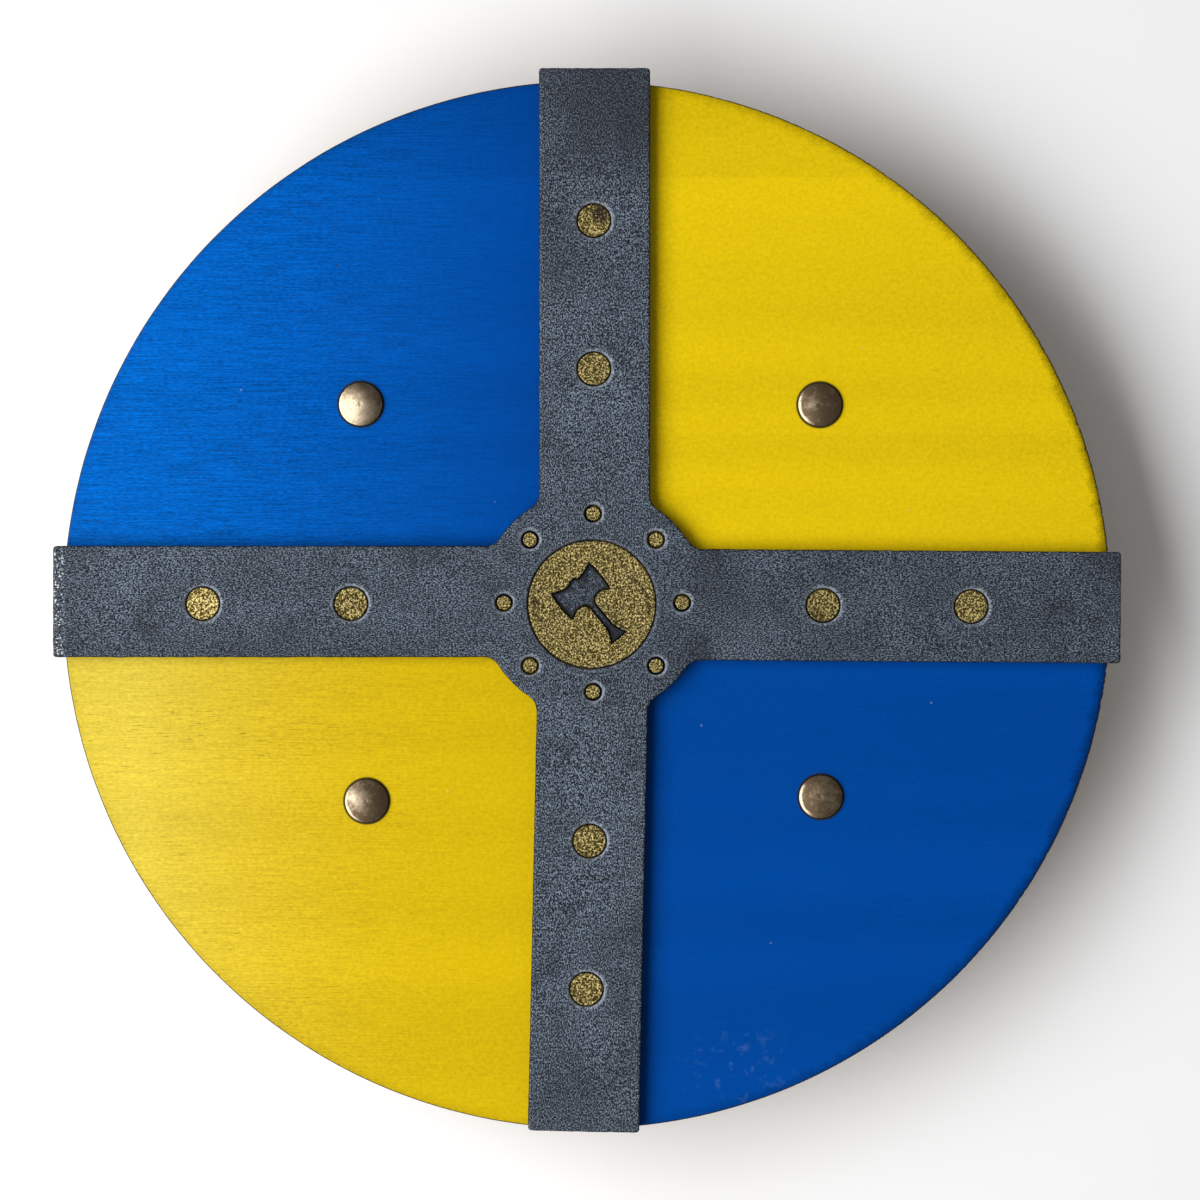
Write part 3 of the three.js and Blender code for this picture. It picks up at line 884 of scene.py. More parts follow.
def signed_area(loop):
    after = np.roll(loop, -1, axis=0)
    return 0.5 * float(np.sum(loop[:, 0] * after[:, 1] - after[:, 0] * loop[:, 1]))


def turned(loop, counterclockwise=True):
    return loop if (signed_area(loop) > 0) == counterclockwise else loop[::-1]


def eased(loop, step):
    after = np.roll(loop, -1, axis=0) - loop
    length = np.linalg.norm(after, axis=1)
    heading = after / length[:, None]
    before = np.roll(heading, 1, axis=0)
    turn = np.arccos(np.clip(np.sum(heading * before, axis=1), -1, 1))
    points = []
    for i in range(len(loop)):
        j = (i + 1) % len(loop)
        tangents = []
        for corner, chord, other in ((i, heading[i], before[i]), (j, heading[i], heading[j])):
            straight_by = length[i] > STRAIGHT_EDGE
            other_straight = length[i - 1 if corner == i else j] > STRAIGHT_EDGE
            if straight_by or turn[corner] > SHARP_CORNER:
                tangent = chord
            elif other_straight:
                tangent = other
            else:
                tangent = chord + other
            tangents.append(tangent / np.linalg.norm(tangent) * length[i])
        count = max(1, round(length[i] / step))
        t = (np.arange(count) / count)[:, None]
        start = (2 * t**3 - 3 * t**2 + 1) * loop[i] + (t**3 - 2 * t**2 + t) * tangents[0]
        end = (3 * t**2 - 2 * t**3) * loop[j] + (t**3 - t**2) * tangents[1]
        points.append(start + end)
    return np.vstack(points)


def round_hole(loop, step):
    centre = loop.mean(axis=0)
    radius = np.linalg.norm(loop - centre, axis=1).max()
    count = max(24, round(2 * math.pi * radius / step))
    angle = -2 * math.pi * np.arange(count) / count
    return centre + radius * np.stack([np.cos(angle), np.sin(angle)], axis=1)


print("area inside the cross's outline in cm2:", round(abs(signed_area(cross_outline[0])) * 1e4))

# %% [markdown]
# Plates with rounded rims
#
# A flat piece could be an extruded outline with a bevel, but its face would be a few huge polygons
# that can hold no relief. Here each plate is built from its outline and holes: rows of points climb
# the wall and round both rims, and the face is filled with an even net of points, which triangles
# join. The face can then be raised and lowered point by point.

# %% Points inside an outline
NET_JITTER = 0.12


def outward_of(loop):
    before = np.roll(loop, 1, axis=0)
    after = np.roll(loop, -1, axis=0)
    run = after - before
    normal = np.stack([run[:, 1], -run[:, 0]], axis=1)
    return normal / np.linalg.norm(normal, axis=1)[:, None]


def inside(points, loop):
    x, y = points[:, 0], points[:, 1]
    hit = np.zeros(len(points), bool)
    for (x0, y0), (x1, y1) in zip(loop, np.roll(loop, -1, axis=0)):
        if y0 == y1:
            continue
        crosses = (y0 > y) != (y1 > y)
        hit ^= crosses & (x < (x1 - x0) * (y - y0) / (y1 - y0) + x0)
    return hit


def net_inside(loops, rim_points, spacing):
    low, high = loops[0].min(axis=0), loops[0].max(axis=0)
    rows = np.arange(low[1], high[1], spacing * math.sqrt(3) / 2)
    columns = np.arange(low[0], high[0], spacing)
    grid = np.array([(x + (k % 2) * spacing / 2, y) for k, y in enumerate(rows) for x in columns])
    grid += np.random.default_rng(7).uniform(-NET_JITTER, NET_JITTER, grid.shape) * spacing
    keep = inside(grid, loops[0])
    for hole in loops[1:]:
        keep &= ~inside(grid, hole)
    tree = kdtree.KDTree(len(rim_points))
    for i, (x, y) in enumerate(rim_points):
        tree.insert((x, y, 0), i)
    tree.balance()
    grid = grid[keep]
    reach = np.array([tree.find((x, y, 0))[2] for x, y in grid])
    far = reach > 0.6 * spacing
    return grid[far], reach[far]


# %% [markdown]
# Blender has a function that joins points with the fattest triangles that it can. It keeps the
# outlines as edges, and says for each triangle which outlines it lies in, so the triangles in a hole
# are dropped.

# %% Fill a face
def fill_face(rim_loops, net):
    points = [Vector(p) for loop in rim_loops for p in loop] + [Vector(p) for p in net]
    faces, start = [], 0
    for loop in rim_loops:
        ids = list(range(start, start + len(loop)))
        faces.append(ids if signed_area(loop) > 0 else ids[::-1])
        start += len(loop)
    result = geometry.delaunay_2d_cdt(points, [], faces, 1, 1e-9, True)
    origin = [ids[0] if ids else None for ids in result[3]]
    triangles = []
    for triangle, owners in zip(result[2], result[5]):
        if set(owners) == {0} and None not in (origin[i] for i in triangle):
            triangles.append([origin[i] for i in triangle])
    return triangles


def close_face(verts, sizes, base, loops, spacing):
    rings, start = [], base
    for size in sizes:
        rings.append(np.array(verts[start : start + size])[:, :2])
        start += size
    net, reach = np.zeros((0, 2)), []
    if spacing:
        net, reach = net_inside(loops, np.vstack(rings), spacing)
    after_rings = len(verts) - sum(sizes)
    triangles = [[(base if i < sum(sizes) else after_rings) + i for i in t] for t in fill_face(rings, net)]
    return triangles, net, reach


# %% [markdown]
# Points and values
#
# A mesh hands over all its points at once as one array, which is moved with a few sums and handed
# back. A value for each point is stored the same way, under a name that a material can read.

# %% Points and values of a mesh
def read_points(mesh):
    co = np.empty(len(mesh.vertices) * 3, np.float32)
    mesh.vertices.foreach_get("co", co)
    return co.reshape(-1, 3).astype(float)


def write_points(mesh, co):
    mesh.vertices.foreach_set("co", co.astype(np.float32).ravel())
    mesh.update()


def read_values(mesh, label):
    values = np.empty(len(mesh.vertices), np.float32)
    mesh.attributes[label].data.foreach_get("value", values)
    return values


def store_values(mesh, label, values):
    mesh.attributes.new(label, "FLOAT", "POINT").data.foreach_set("value", values)


def wavy(points, scale, seed):
    shift = Vector((seed * 17.3, seed * 5.1, seed * 9.7))
    return np.array([noise.noise(Vector(p) * scale + shift) for p in points])


def counted(piece):
    sides = {}
    for polygon in piece.data.polygons:
        for key in polygon.edge_keys:
            sides[key] = sides.get(key, 0) + 1
    triangles = sum(len(p.vertices) - 2 for p in piece.data.polygons)
    return f"{piece.name}: {triangles} triangles, {sum(n != 2 for n in sides.values())} open edges"


# %% [markdown]
# The rows of a plate run from its back face, round the lower rim, up the wall and round the upper rim.
# A rim's round is larger beside a punched hole, where the foam was pressed. Two values are stored at
# each point: edge, which is 1 on the wall and fades inwards, and face, which is 1 on the front.

# %% Plate builder
EDGE_FADE = 1.2 * MM
EDGE_DROP = 0.35


def rim_rows(low, high, edge, edge_rows, wall_rows):
    quarter = [math.pi / 2 * k / edge_rows for k in range(edge_rows + 1)]
    lower = [(edge * (1 - math.sin(a)), low + edge * (1 - math.cos(a))) for a in quarter]
    wall = [(0, low + edge + (high - low - 2 * edge) * k / wall_rows) for k in range(1, wall_rows)]
    upper = [(edge * (1 - math.cos(a)), high - edge * (1 - math.sin(a))) for a in quarter]
    return lower + wall + upper


def climb(rows, loops, lips, high, edge):
    verts, rim, front = [], [], []
    outward = [outward_of(loop) for loop in loops]
    for inset, z in rows:
        for loop, normal, spread in zip(loops, outward, lips):
            rounded = spread if z >= high - edge * 1.001 else 1
            ring = loop - normal * inset * rounded
            verts += [(x, y, high - (high - z) * rounded) for x, y in ring]
            rim += [1 - min(1, max(0, inset / edge)) * EDGE_DROP] * len(ring)
            front += [min(1, max(0, (z - high + edge) / edge) * 2)] * len(ring)
    return verts, rim, front


def wall_faces(sizes, row_count):
    faces, start, per_row = [], 0, sum(sizes)
    for size in sizes * (row_count - 1):
        for i in range(size):
            a, b = start + i, start + (i + 1) % size
            faces.append((a, b, b + per_row, a + per_row))
        start += size
    return faces


def plate(name, loops, low, high, edge, spacing, edge_rows=4, wall_rows=5, back_spacing=None, lip=1.0):
    loops = [turned(loops[0])] + [turned(hole, False) for hole in loops[1:]]
    lips = [1.0] + [lip] * (len(loops) - 1)
    sizes = [len(loop) for loop in loops]
    rows = rim_rows(low, high, edge, edge_rows, wall_rows)
    verts, rim, front = climb(rows, loops, lips, high, edge)
    faces = wall_faces(sizes, len(rows))
    for top in (True, False):
        base = (len(rows) - 1) * sum(sizes) if top else 0
        triangles, net, reach = close_face(verts, sizes, base, loops, spacing if top else back_spacing)
        faces += triangles if top else [corners[::-1] for corners in triangles]
        verts += [(x, y, high if top else low) for x, y in net]
        rim += [(1 - EDGE_DROP) * math.exp(-distance / EDGE_FADE) for distance in reach]
        front += [1.0 if top else 0.0] * len(net)
    mesh = bpy.data.meshes.new(name)
    mesh.from_pydata(verts, [], faces)
    store_values(mesh, "edge", rim)
    store_values(mesh, "face", front)
    mesh.shade_smooth()
    return placed(name, mesh)


print("heights of a sample plate's rows in mm:", [round(z, 1) for _, z in rim_rows(0, 5, 1, 2, 2)])

# %% [markdown]
# The board
#
# Sawn plywood isn't perfectly flat or perfectly round. The face swells by a few hundredths of a
# millimetre, which only shows as an uneven sheen. The rim is where the saw tore small splinters out,
# worst on the right, where it cut across the grain. Both are moves of the mesh's own points.

# %% Board
BOARD_ARRIS = 0.8 * MM
RIM_STEP = 0.6 * MM
FACE_SWELL = 0.05 * MM
SAW_WAVE = 0.06 * MM
TEAR_DEPTH = 0.5 * MM
RIM_REACH = 1.2 * MM
TEAR_HEADING = math.radians(18)
BOARD_SPACING, BACK_SPACING = 3 * MM, 4 * MM
RIVET_HOLE_STEP = 0.8 * MM


def age_board(mesh):
    co = read_points(mesh)
    reach = np.hypot(co[:, 0], co[:, 1])
    at_rim = np.clip((reach - BOARD_RADIUS + RIM_REACH) / MM, 0, 1)
    angle = np.arctan2(co[:, 1], co[:, 0])
    across_grain = np.clip(np.cos(angle - TEAR_HEADING), 0.15, 1) ** 2
    wave = wavy(co, 90, 1) * SAW_WAVE
    tear = np.clip(wavy(co * (1, 1, 0.35), 900, 2) - 0.12, 0, 1) * TEAR_DEPTH * across_grain
    pull = at_rim * (wave - SAW_WAVE * 0.6 - 1.6 * tear)
    co[:, 0] += pull * np.cos(angle)
    co[:, 1] += pull * np.sin(angle)
    on_face = read_values(mesh, "face") * (1 - at_rim)
    co[:, 2] += on_face * (wavy(co, 22, 3) - 0.5) * FACE_SWELL
    write_points(mesh, co)


def make_board():
    count = round(2 * math.pi * BOARD_RADIUS / RIM_STEP)
    angle = 2 * math.pi * np.arange(count) / count
    rim = BOARD_RADIUS * np.stack([np.cos(angle), np.sin(angle)], axis=1)
    holes = [round_hole(loop, RIVET_HOLE_STEP) for loop in creased_loops("board", BOARD_HIGH.z)[1:]]
    board = plate("painted_board", [rim] + holes, BOARD_LOW.z, BOARD_HIGH.z, BOARD_ARRIS, BOARD_SPACING,
                  edge_rows=5, wall_rows=12, back_spacing=BACK_SPACING)
    age_board(board.data)
    board.data.materials.append(painted_plywood)
    board.data.materials.append(bare_plywood)
    for polygon in board.data.polygons:
        polygon.material_index = int(polygon.normal.z < -0.7)
    return board


board = make_board()
print(counted(board))

# %% [markdown]
# The foam cross
#
# The cross is the raised part of the shield. Its outline and holes come from the solid. Relief as
# real geometry: a slow wave, because glued foam never lies flat, and a fine pebble about two
# millimetres wide. The speckle that is finer than that is left to the material. Each mark of
# handling is an oval of soot: its middle and half widths in millimetres, and how dark it is.

# %% Relief and soot
HANDLING_MARKS = (
    ("top end", (12, 176), (36, 42), 0.62),
    ("top arm", (0, 130), (30, 50), 0.15),
    ("left end", (-176, 0), (20, 30), 0.3),
    ("left arm's lower edge", (-110, -17), (90, 15), 0.35),
    ("left arm's upper edge near the hub", (-62, 18), (18, 10), 0.2),
    ("hub", (8, 2), (56, 52), 0.2),
    ("hub's right side", (42, 12), (14, 16), 0.3),
    ("hub's lower right", (34, -20), (12, 16), 0.3),
    ("right arm", (125, 0), (90, 60), 0.26),
    ("right end", (176, 14), (16, 22), 0.3),
    ("bottom arm's right edge", (18, -125), (14, 60), 0.2),
    ("bottom end", (0, -176), (34, 36), 0.25),
)


def foam_relief(mesh, wave, pebble, pebble_scale, seed):
    co = read_points(mesh)
    calm = 1 - read_values(mesh, "edge")
    lift = read_values(mesh, "face") * calm
    co[:, 2] += lift * wave * (wavy(co, 38, seed) - 0.7)
    co[:, 2] += lift * pebble * (wavy(co, pebble_scale, seed + 1) - 0.5)
    write_points(mesh, co)


def soot_from_marks(mesh):
    co = read_points(mesh)
    clean = np.ones(len(co))
    for _, centre, reach, depth in HANDLING_MARKS:
        away = np.hypot(*((co[:, :2] / MM - centre) / reach).T)
        clean *= 1 - depth * np.clip(1 - away**2, 0, 1)
    store_values(mesh, "soot_and_shade", 1 - clean)


print("marks of handling:", len(HANDLING_MARKS))

# %% [markdown]
# A blade wanders a little as it cuts, so the outline gets a small wobble. A punch presses the foam up
# round each small hole, and the value named punched tells the finish where that lip is.

# %% Foam cross
CROSS_SPACING, CROSS_BACK_SPACING = 0.8 * MM, 6 * MM
CROSS_EDGE = 0.85 * MM
HOLE_STEP, HOLE_LIP = 0.6 * MM, 1.35
CUT_WOBBLE = 0.12 * MM
PUNCHED_LIP = 1 * MM
SMALL_HOLE = 10 * MM
FOAM_WAVE, FOAM_PEBBLE = 0.10 * MM, 0.05 * MM


def hand_cut(loop):
    flat = np.pad(loop, ((0, 0), (0, 1)))
    wobble = wavy(flat, 330, 13) + 0.5 * wavy(flat, 1100, 14)
    return loop - outward_of(loop) * (0.5 + wobble)[:, None] * CUT_WOBBLE


def mark_punched_holes(mesh, holes):
    co = read_points(mesh)[:, :2]
    near = np.zeros(len(co))
    for hole in holes:
        centre = hole.mean(axis=0)
        radius = np.linalg.norm(hole - centre, axis=1).max()
        lip = np.clip(2 - (np.hypot(*(co - centre).T) - radius) / PUNCHED_LIP, 0, 1)
        near = np.maximum(near, lip if radius < SMALL_HOLE else 0.4 * lip)
    store_values(mesh, "punched", near)


def make_foam_cross():
    holes = creased_loops("foam_cross", CROSS_LOW.z)[1:]
    loops = [hand_cut(eased(turned(cross_outline[0]), CROSS_SPACING))]
    loops += [round_hole(loop, HOLE_STEP) for loop in holes]
    cross = plate("grey_foam_cross", loops, CROSS_LOW.z, CROSS_HIGH.z, CROSS_EDGE, CROSS_SPACING,
                  edge_rows=5, wall_rows=5, back_spacing=CROSS_BACK_SPACING, lip=HOLE_LIP)
    foam_relief(cross.data, FOAM_WAVE, FOAM_PEBBLE, 620, 5)
    soot_from_marks(cross.data)
    mark_punched_holes(cross.data, holes)
    cross.data.materials.append(grey_foam)
    return cross, len(holes)


foam_cross, hole_count = make_foam_cross()
print("holes in the cross:", hole_count, "-", counted(foam_cross))

# %% [markdown]
# Medallion
#
# The medallion is a foam disc with a gap in the shape of an axe. Its grains are big enough to be
# modelled, so the net of points is fine. The scuffs are pressed into it: each is a short line with a
# half width and a strength, in millimetres from the middle. The finish shows brown where they are.

# %% Medallion
MEDALLION_EDGE = 0.45 * MM
MEDALLION_SPACING = 0.34 * MM
GOLD_WAVE, GOLD_PEBBLE = 0.12 * MM, 0.11 * MM
SCUFF_DEPTH = 0.12 * MM
SCUFFS = (
    ("smudge at the left", (-18.9, 5.0), (-17.5, 4.7), 0.8, 0.7),
    ("upper nick at the left", (-19.4, 2.4), (-17.9, 0.4), 0.46, 0.95),
    ("middle nick at the left", (-19.2, 0.2), (-17.8, -1.6), 0.46, 1.0),
    ("edge of the nicks", (-19.4, 2.4), (-19.0, -1.8), 0.4, 0.9),
    ("long nick at the left", (-19.2, -2.9), (-16.8, -5.0), 0.46, 1.0),
    ("long scratch at the right", (15.0, 7.6), (19.4, 2.1), 0.38, 0.9),
    ("faint scratch beside it", (12.8, 9.2), (17.4, 4.2), 0.3, 0.5),
    ("dark dent at the right", (18.7, 0.0), (19.5, -1.1), 0.7, 1.0),
    ("nick above the dent", (18.2, 2.9), (19.5, 2.2), 0.45, 1.0),
    ("nick below the dent", (19.2, -2.4), (18.9, -3.4), 0.45, 0.85),
    ("tear above the handle's end", (7.2, -5.8), (11.2, -8.1), 0.36, 0.9),
    ("brown speck at the top", (7.0, 15.6), (7.9, 14.7), 0.5, 0.6),
)


def press_scuffs(mesh):
    co = read_points(mesh)
    place = (co[:, :2] - np.array(middle("medallion").xy)) / MM
    scuff = np.zeros(len(co))
    for _, start, end, half, strength in SCUFFS:
        run = np.subtract(end, start)
        share = np.clip((place - start) @ run / (run @ run), 0, 1)
        away = np.hypot(*(place - start - share[:, None] * run).T)
        scuff = np.maximum(scuff, strength * np.clip(1.5 - away / half, 0, 1))
    scuff *= read_values(mesh, "face")
    co[:, 2] -= scuff * SCUFF_DEPTH
    write_points(mesh, co)
    store_values(mesh, "scuff", scuff)


def make_medallion():
    low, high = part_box("medallion")
    outline, opening = creased_loops("medallion", low.z)[:2]
    loops = [round_hole(outline, MEDALLION_SPACING), eased(turned(opening), MEDALLION_SPACING)]
    medallion = plate("gold_medallion", loops, low.z, high.z, MEDALLION_EDGE, MEDALLION_SPACING,
                      edge_rows=3, wall_rows=6)
    mesh = medallion.data
    foam_relief(mesh, GOLD_WAVE, GOLD_PEBBLE, 1150, 8)
    store_values(mesh, "tone", [1.0] * len(mesh.vertices))
    press_scuffs(mesh)
    mesh.materials.append(gold_foam)
    return medallion


medallion = make_medallion()
print(counted(medallion))

# %% [markdown]
# Axe
#
# The grey double-bit axe lies in the medallion's gap, a little lower. Soot and painted shade are
# measured along its handle and across it: the head is half clean, while the black handle and the
# black edge are partly soot and partly painted shade of the sunk gap. One pale line along the handle
# is a painted highlight.

# %% Axe
AXE_SINK, AXE_EDGE, AXE_SHRINK = 0.35 * MM, 0.25 * MM, 0.12 * MM
AXE_STEP = 0.7 * MM
AXE_WAVE, AXE_PEBBLE = 0.2 * MM, 0.22 * MM
HANDLE_HEADING = Vector((0.62, -0.78, 0))
HEAD_SOOT, HANDLE_SOOT_AND_SHADE, SOOT_MOTTLE = 0.4, 0.82, 0.7
GLINT_OFF_MIDDLE, GLINT_HALF = -0.3, 0.34
GLINT_ALONG = (2, 3, 8, 9.5)


def axe_soot_and_shade(mesh):
    place = (read_points(mesh) - np.array(middle("axe_inlay"))) / MM
    along = place @ np.array(HANDLE_HEADING)
    across = place @ np.array(HANDLE_HEADING.cross(Vector((0, 0, 1))))
    # The handle's black is partly soot and partly painted shade of its deeper recess.
    soot_and_shade = HEAD_SOOT + (HANDLE_SOOT_AND_SHADE - HEAD_SOOT) * np.clip(along / 4, 0, 1)
    soot_and_shade = np.clip(soot_and_shade + SOOT_MOTTLE * wavy(read_points(mesh), 520, 16), 0, 0.92)
    # The black rims of the axe are painted shade of the sunk gap round it.
    soot_and_shade += (1 - soot_and_shade) * np.clip((read_values(mesh, "edge") - 0.33) / 0.14, 0, 1)
    # The pale line along the handle is a painted highlight.
    glint = np.clip(1.5 - np.abs(across - GLINT_OFF_MIDDLE) / GLINT_HALF, 0, 1)
    return soot_and_shade * (1 - glint * np.interp(along, GLINT_ALONG, (0, 0.9, 0.9, 0)))


def make_axe():
    low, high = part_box("axe_inlay")
    outline = eased(turned(creased_loops("axe_inlay", low.z)[0]), AXE_STEP)
    loops = [outline - outward_of(outline) * AXE_SHRINK]
    axe = plate("axe_figure", loops, low.z, high.z - AXE_SINK, AXE_EDGE, MEDALLION_SPACING, edge_rows=3)
    foam_relief(axe.data, AXE_WAVE, AXE_PEBBLE, 700, 11)
    store_values(axe.data, "soot_and_shade", axe_soot_and_shade(axe.data))
    axe.data.materials.append(grey_foam)
    return axe


axe = make_axe()
print(counted(axe))

# %% [markdown]
# Foam discs by Geometry Nodes
#
# Sixteen discs were punched from the same gold foam. One node tree makes them all: it builds a disc
# with a rounded rim, sets a copy on each point, turns each copy by its own angle, and only then adds
# the pebbled relief, so that no two discs are alike. The points carry each disc's tone. The tree has
# named inputs, and runs twice: for the arms' large discs and for the ring of small ones.

# %% Helpers for Geometry Nodes
GEOMETRY = "NodeSocketGeometry"
WHOLE = "NodeSocketInt"


def named_value(tree, label, kind="FLOAT"):
    return put(tree, "GeometryNodeInputNamedAttribute", {"Name": label}, data_type=kind).outputs[0]


def keep_value(tree, geometry, label, value, kind="FLOAT"):
    sockets = {"Geometry": geometry, "Name": label, "Value": value}
    return put(tree, "GeometryNodeStoreNamedAttribute", sockets, data_type=kind, domain="POINT").outputs[0]


def copies_at(tree, points, instance, angles):
    turn = put(tree, "FunctionNodeEulerToRotation", {0: angles}).outputs[0]
    sockets = {"Points": points, "Instance": instance, "Rotation": turn}
    copies = put(tree, "GeometryNodeInstanceOnPoints", sockets).outputs[0]
    return put(tree, "GeometryNodeRealizeInstances", {"Geometry": copies}).outputs[0]


def end_coated(tree, geometry, finish):
    sockets = {"Geometry": geometry, "Material": finish}
    coated = put(tree, "GeometryNodeSetMaterial", sockets).outputs[0]
    return end_group(tree, {"Geometry": coated})


# %% [markdown]
# The blank is a plain cylinder. Its rings are crowded towards the rim, where the round needs them, and
# its front then falls away along a quarter circle.

# %% Disc tree
RING_CROWDING, RIM_FADE = 1.7, 14


def start_disc_tree():
    inputs = {
        "Geometry": (GEOMETRY, None),
        "Radius": (NUMBER, 5.4 * MM),
        "Thickness": (NUMBER, 4.4 * MM),
        "Edge": (NUMBER, 0.4 * MM),
        "Pebble": (NUMBER, 0.1 * MM),
        "Pebble Scale": (NUMBER, 1200),
        "Sides": (WHOLE, 64),
        "Rings": (WHOLE, 22),
        "Seed": (WHOLE, 3),
        "Finish": ("NodeSocketMaterial", None),
    }
    return start_group("punched_discs", "GeometryNodeTree", inputs, {"Geometry": GEOMETRY})


def rim_drop(tree, given, crowded):
    start = minus(tree, given["Radius"], given["Edge"])
    out = calc(tree, "MAXIMUM", minus(tree, times(tree, crowded, given["Radius"]), start), 0)
    room = minus(tree, squared(tree, given["Edge"]), squared(tree, out))
    return minus(tree, given["Edge"], calc(tree, "SQRT", calc(tree, "MAXIMUM", room, 0)))


def rounded_disc(tree, given):
    blank = put(tree, "GeometryNodeMeshCylinder", {
        "Vertices": given["Sides"], "Side Segments": 5, "Fill Segments": given["Rings"],
        "Radius": given["Radius"], "Depth": given["Thickness"],
    })
    axes = put(tree, "ShaderNodeSeparateXYZ", {0: put(tree, "GeometryNodeInputPosition").outputs[0]}).outputs
    flat = put(tree, "ShaderNodeCombineXYZ", {0: axes[0], 1: axes[1]}).outputs[0]
    reach = put(tree, "ShaderNodeVectorMath", {0: flat}, operation="LENGTH").outputs["Value"]
    share = calc(tree, "DIVIDE", reach, given["Radius"])
    from_rim = minus(tree, 1, share, clamp=True)
    crowded = minus(tree, 1, calc(tree, "POWER", from_rim, RING_CROWDING))
    spread = calc(tree, "DIVIDE", crowded, calc(tree, "MAXIMUM", share, 0.001))
    top = blank.outputs["Top"]
    fall = times(tree, times(tree, rim_drop(tree, given, crowded), -1), top)
    raised = plus(tree, plus(tree, axes[2], fall), times(tree, given["Thickness"], -0.5))
    sides = [times(tree, axis, spread) for axis in axes[:2]]
    moved = put(tree, "ShaderNodeCombineXYZ", {0: sides[0], 1: sides[1], 2: raised}).outputs[0]
    sockets = {"Geometry": blank.outputs["Mesh"], "Position": moved}
    disc = put(tree, "GeometryNodeSetPosition", sockets).outputs[0]
    disc = keep_value(tree, disc, "face", top)
    return keep_value(tree, disc, "edge", calc(tree, "POWER", crowded, RIM_FADE))


# %% [markdown]
# The relief comes after the copies are real meshes. Each disc then lies in a place of its own in the
# same noise, so one node gives them all different pebbles.

# %% Pebbles and copies
def pebbled(tree, given, geometry):
    where = put(tree, "GeometryNodeInputPosition").outputs[0]
    pebble = minus(tree, cloud(tree, where, given["Pebble Scale"], 2, 0.6), 0.72)
    calm = times(tree, named_value(tree, "face"), minus(tree, 1, named_value(tree, "edge")))
    lift = times(tree, times(tree, pebble, given["Pebble"]), calm)
    offset = put(tree, "ShaderNodeCombineXYZ", {2: lift}).outputs[0]
    return put(tree, "GeometryNodeSetPosition", {"Geometry": geometry, "Offset": offset}).outputs[0]


def make_disc_tree():
    tree, given = start_disc_tree()
    disc = rounded_disc(tree, given)
    turn = put(tree, "FunctionNodeRandomValue", {2: 0, 3: 2 * math.pi, "Seed": given["Seed"]}).outputs[1]
    angles = put(tree, "ShaderNodeCombineXYZ", {2: turn}).outputs[0]
    discs = pebbled(tree, given, copies_at(tree, given["Geometry"], disc, angles))
    smooth = put(tree, "GeometryNodeSetShadeSmooth", {"Geometry": discs}).outputs[0]
    return end_coated(tree, smooth, given["Finish"])


disc_tree = make_disc_tree()

# %% [markdown]
# A modifier's inputs are keyed by each socket's identifier, so a small helper finds them by name. The
# evaluated result is then copied into a plain mesh, and the modifier and its points are thrown away.

# %% Run a tree and keep a plain mesh
def fill_inputs(modifier, values):
    for item in modifier.node_group.interface.items_tree:
        if item.item_type == "SOCKET" and item.in_out == "INPUT" and item.name in values:
            modifier[item.identifier] = values[item.name]


def grown(name, seedling, tree, values):
    modifier = seedling.modifiers.new(tree.name, "NODES")
    modifier.node_group = tree
    fill_inputs(modifier, values)
    bpy.context.view_layer.update()
    evaluated = seedling.evaluated_get(bpy.context.evaluated_depsgraph_get())
    mesh = bpy.data.meshes.new_from_object(evaluated)
    mesh.name = name
    seedling.modifiers.remove(modifier)
    bpy.data.objects.remove(seedling)
    return placed(name, mesh)


def points_object(name, places, **attributes):
    mesh = bpy.data.meshes.new(name)
    mesh.from_pydata([tuple(p) for p in places], [], [])
    for label, values in attributes.items():
        kind = "FLOAT_VECTOR" if isinstance(values[0], Vector) else "FLOAT"
        layer = mesh.attributes.new(label, kind, "POINT")
        if kind == "FLOAT":
            layer.data.foreach_set("value", values)
        else:
            layer.data.foreach_set("vector", [c for v in values for c in v])
    return placed(name, mesh)


# %% [markdown]
# The tones follow the photograph: the outer disc of the left arm is the palest, and the inner disc of
# the right arm is the darkest.

# %% Make the discs
DISC_TONES = {"left_outer": 1.6, "right_inner": 0.85, "top_inner": 0.95, "bottom_outer": 1.05}
RING_TONE = 1.15
DISC_EDGE = 0.4 * MM
ARM_PEBBLE, RING_PEBBLE = 0.3 * MM, 0.22 * MM
ARM_DISCS = [f"{arm}_{place}" for arm in ARM_NAMES for place in ("inner", "outer")]
arm_disc_nodes = [f"arm_disc_{place}" for place in ARM_DISCS]
ring_disc_nodes = [f"ring_disc_{i}" for i in range(1, 9)]


def make_discs(name, node_names, tones, pebble, sides, rings, seed):
    tops = [Vector((*middle(node).xy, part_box(node)[1].z)) for node in node_names]
    low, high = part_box(node_names[0])
    points = points_object(name + "_points", tops, tone=tones)
    return grown(name, points, disc_tree, {
        "Radius": (high.x - low.x) / 2, "Thickness": high.z - low.z, "Edge": DISC_EDGE, "Pebble": pebble,
        "Pebble Scale": 1150.0, "Sides": sides, "Rings": rings, "Seed": seed, "Finish": gold_foam,
    })


arm_tones = [DISC_TONES.get(place, 1.0) for place in ARM_DISCS]
ring_tones = [RING_TONE] * len(ring_disc_nodes)
arm_discs = make_discs("arm_discs", arm_disc_nodes, arm_tones, ARM_PEBBLE, 72, 24, 3)
ring_discs = make_discs("ring_discs", ring_disc_nodes, ring_tones, RING_PEBBLE, 40, 12, 4)
print(counted(arm_discs), "-", counted(ring_discs))

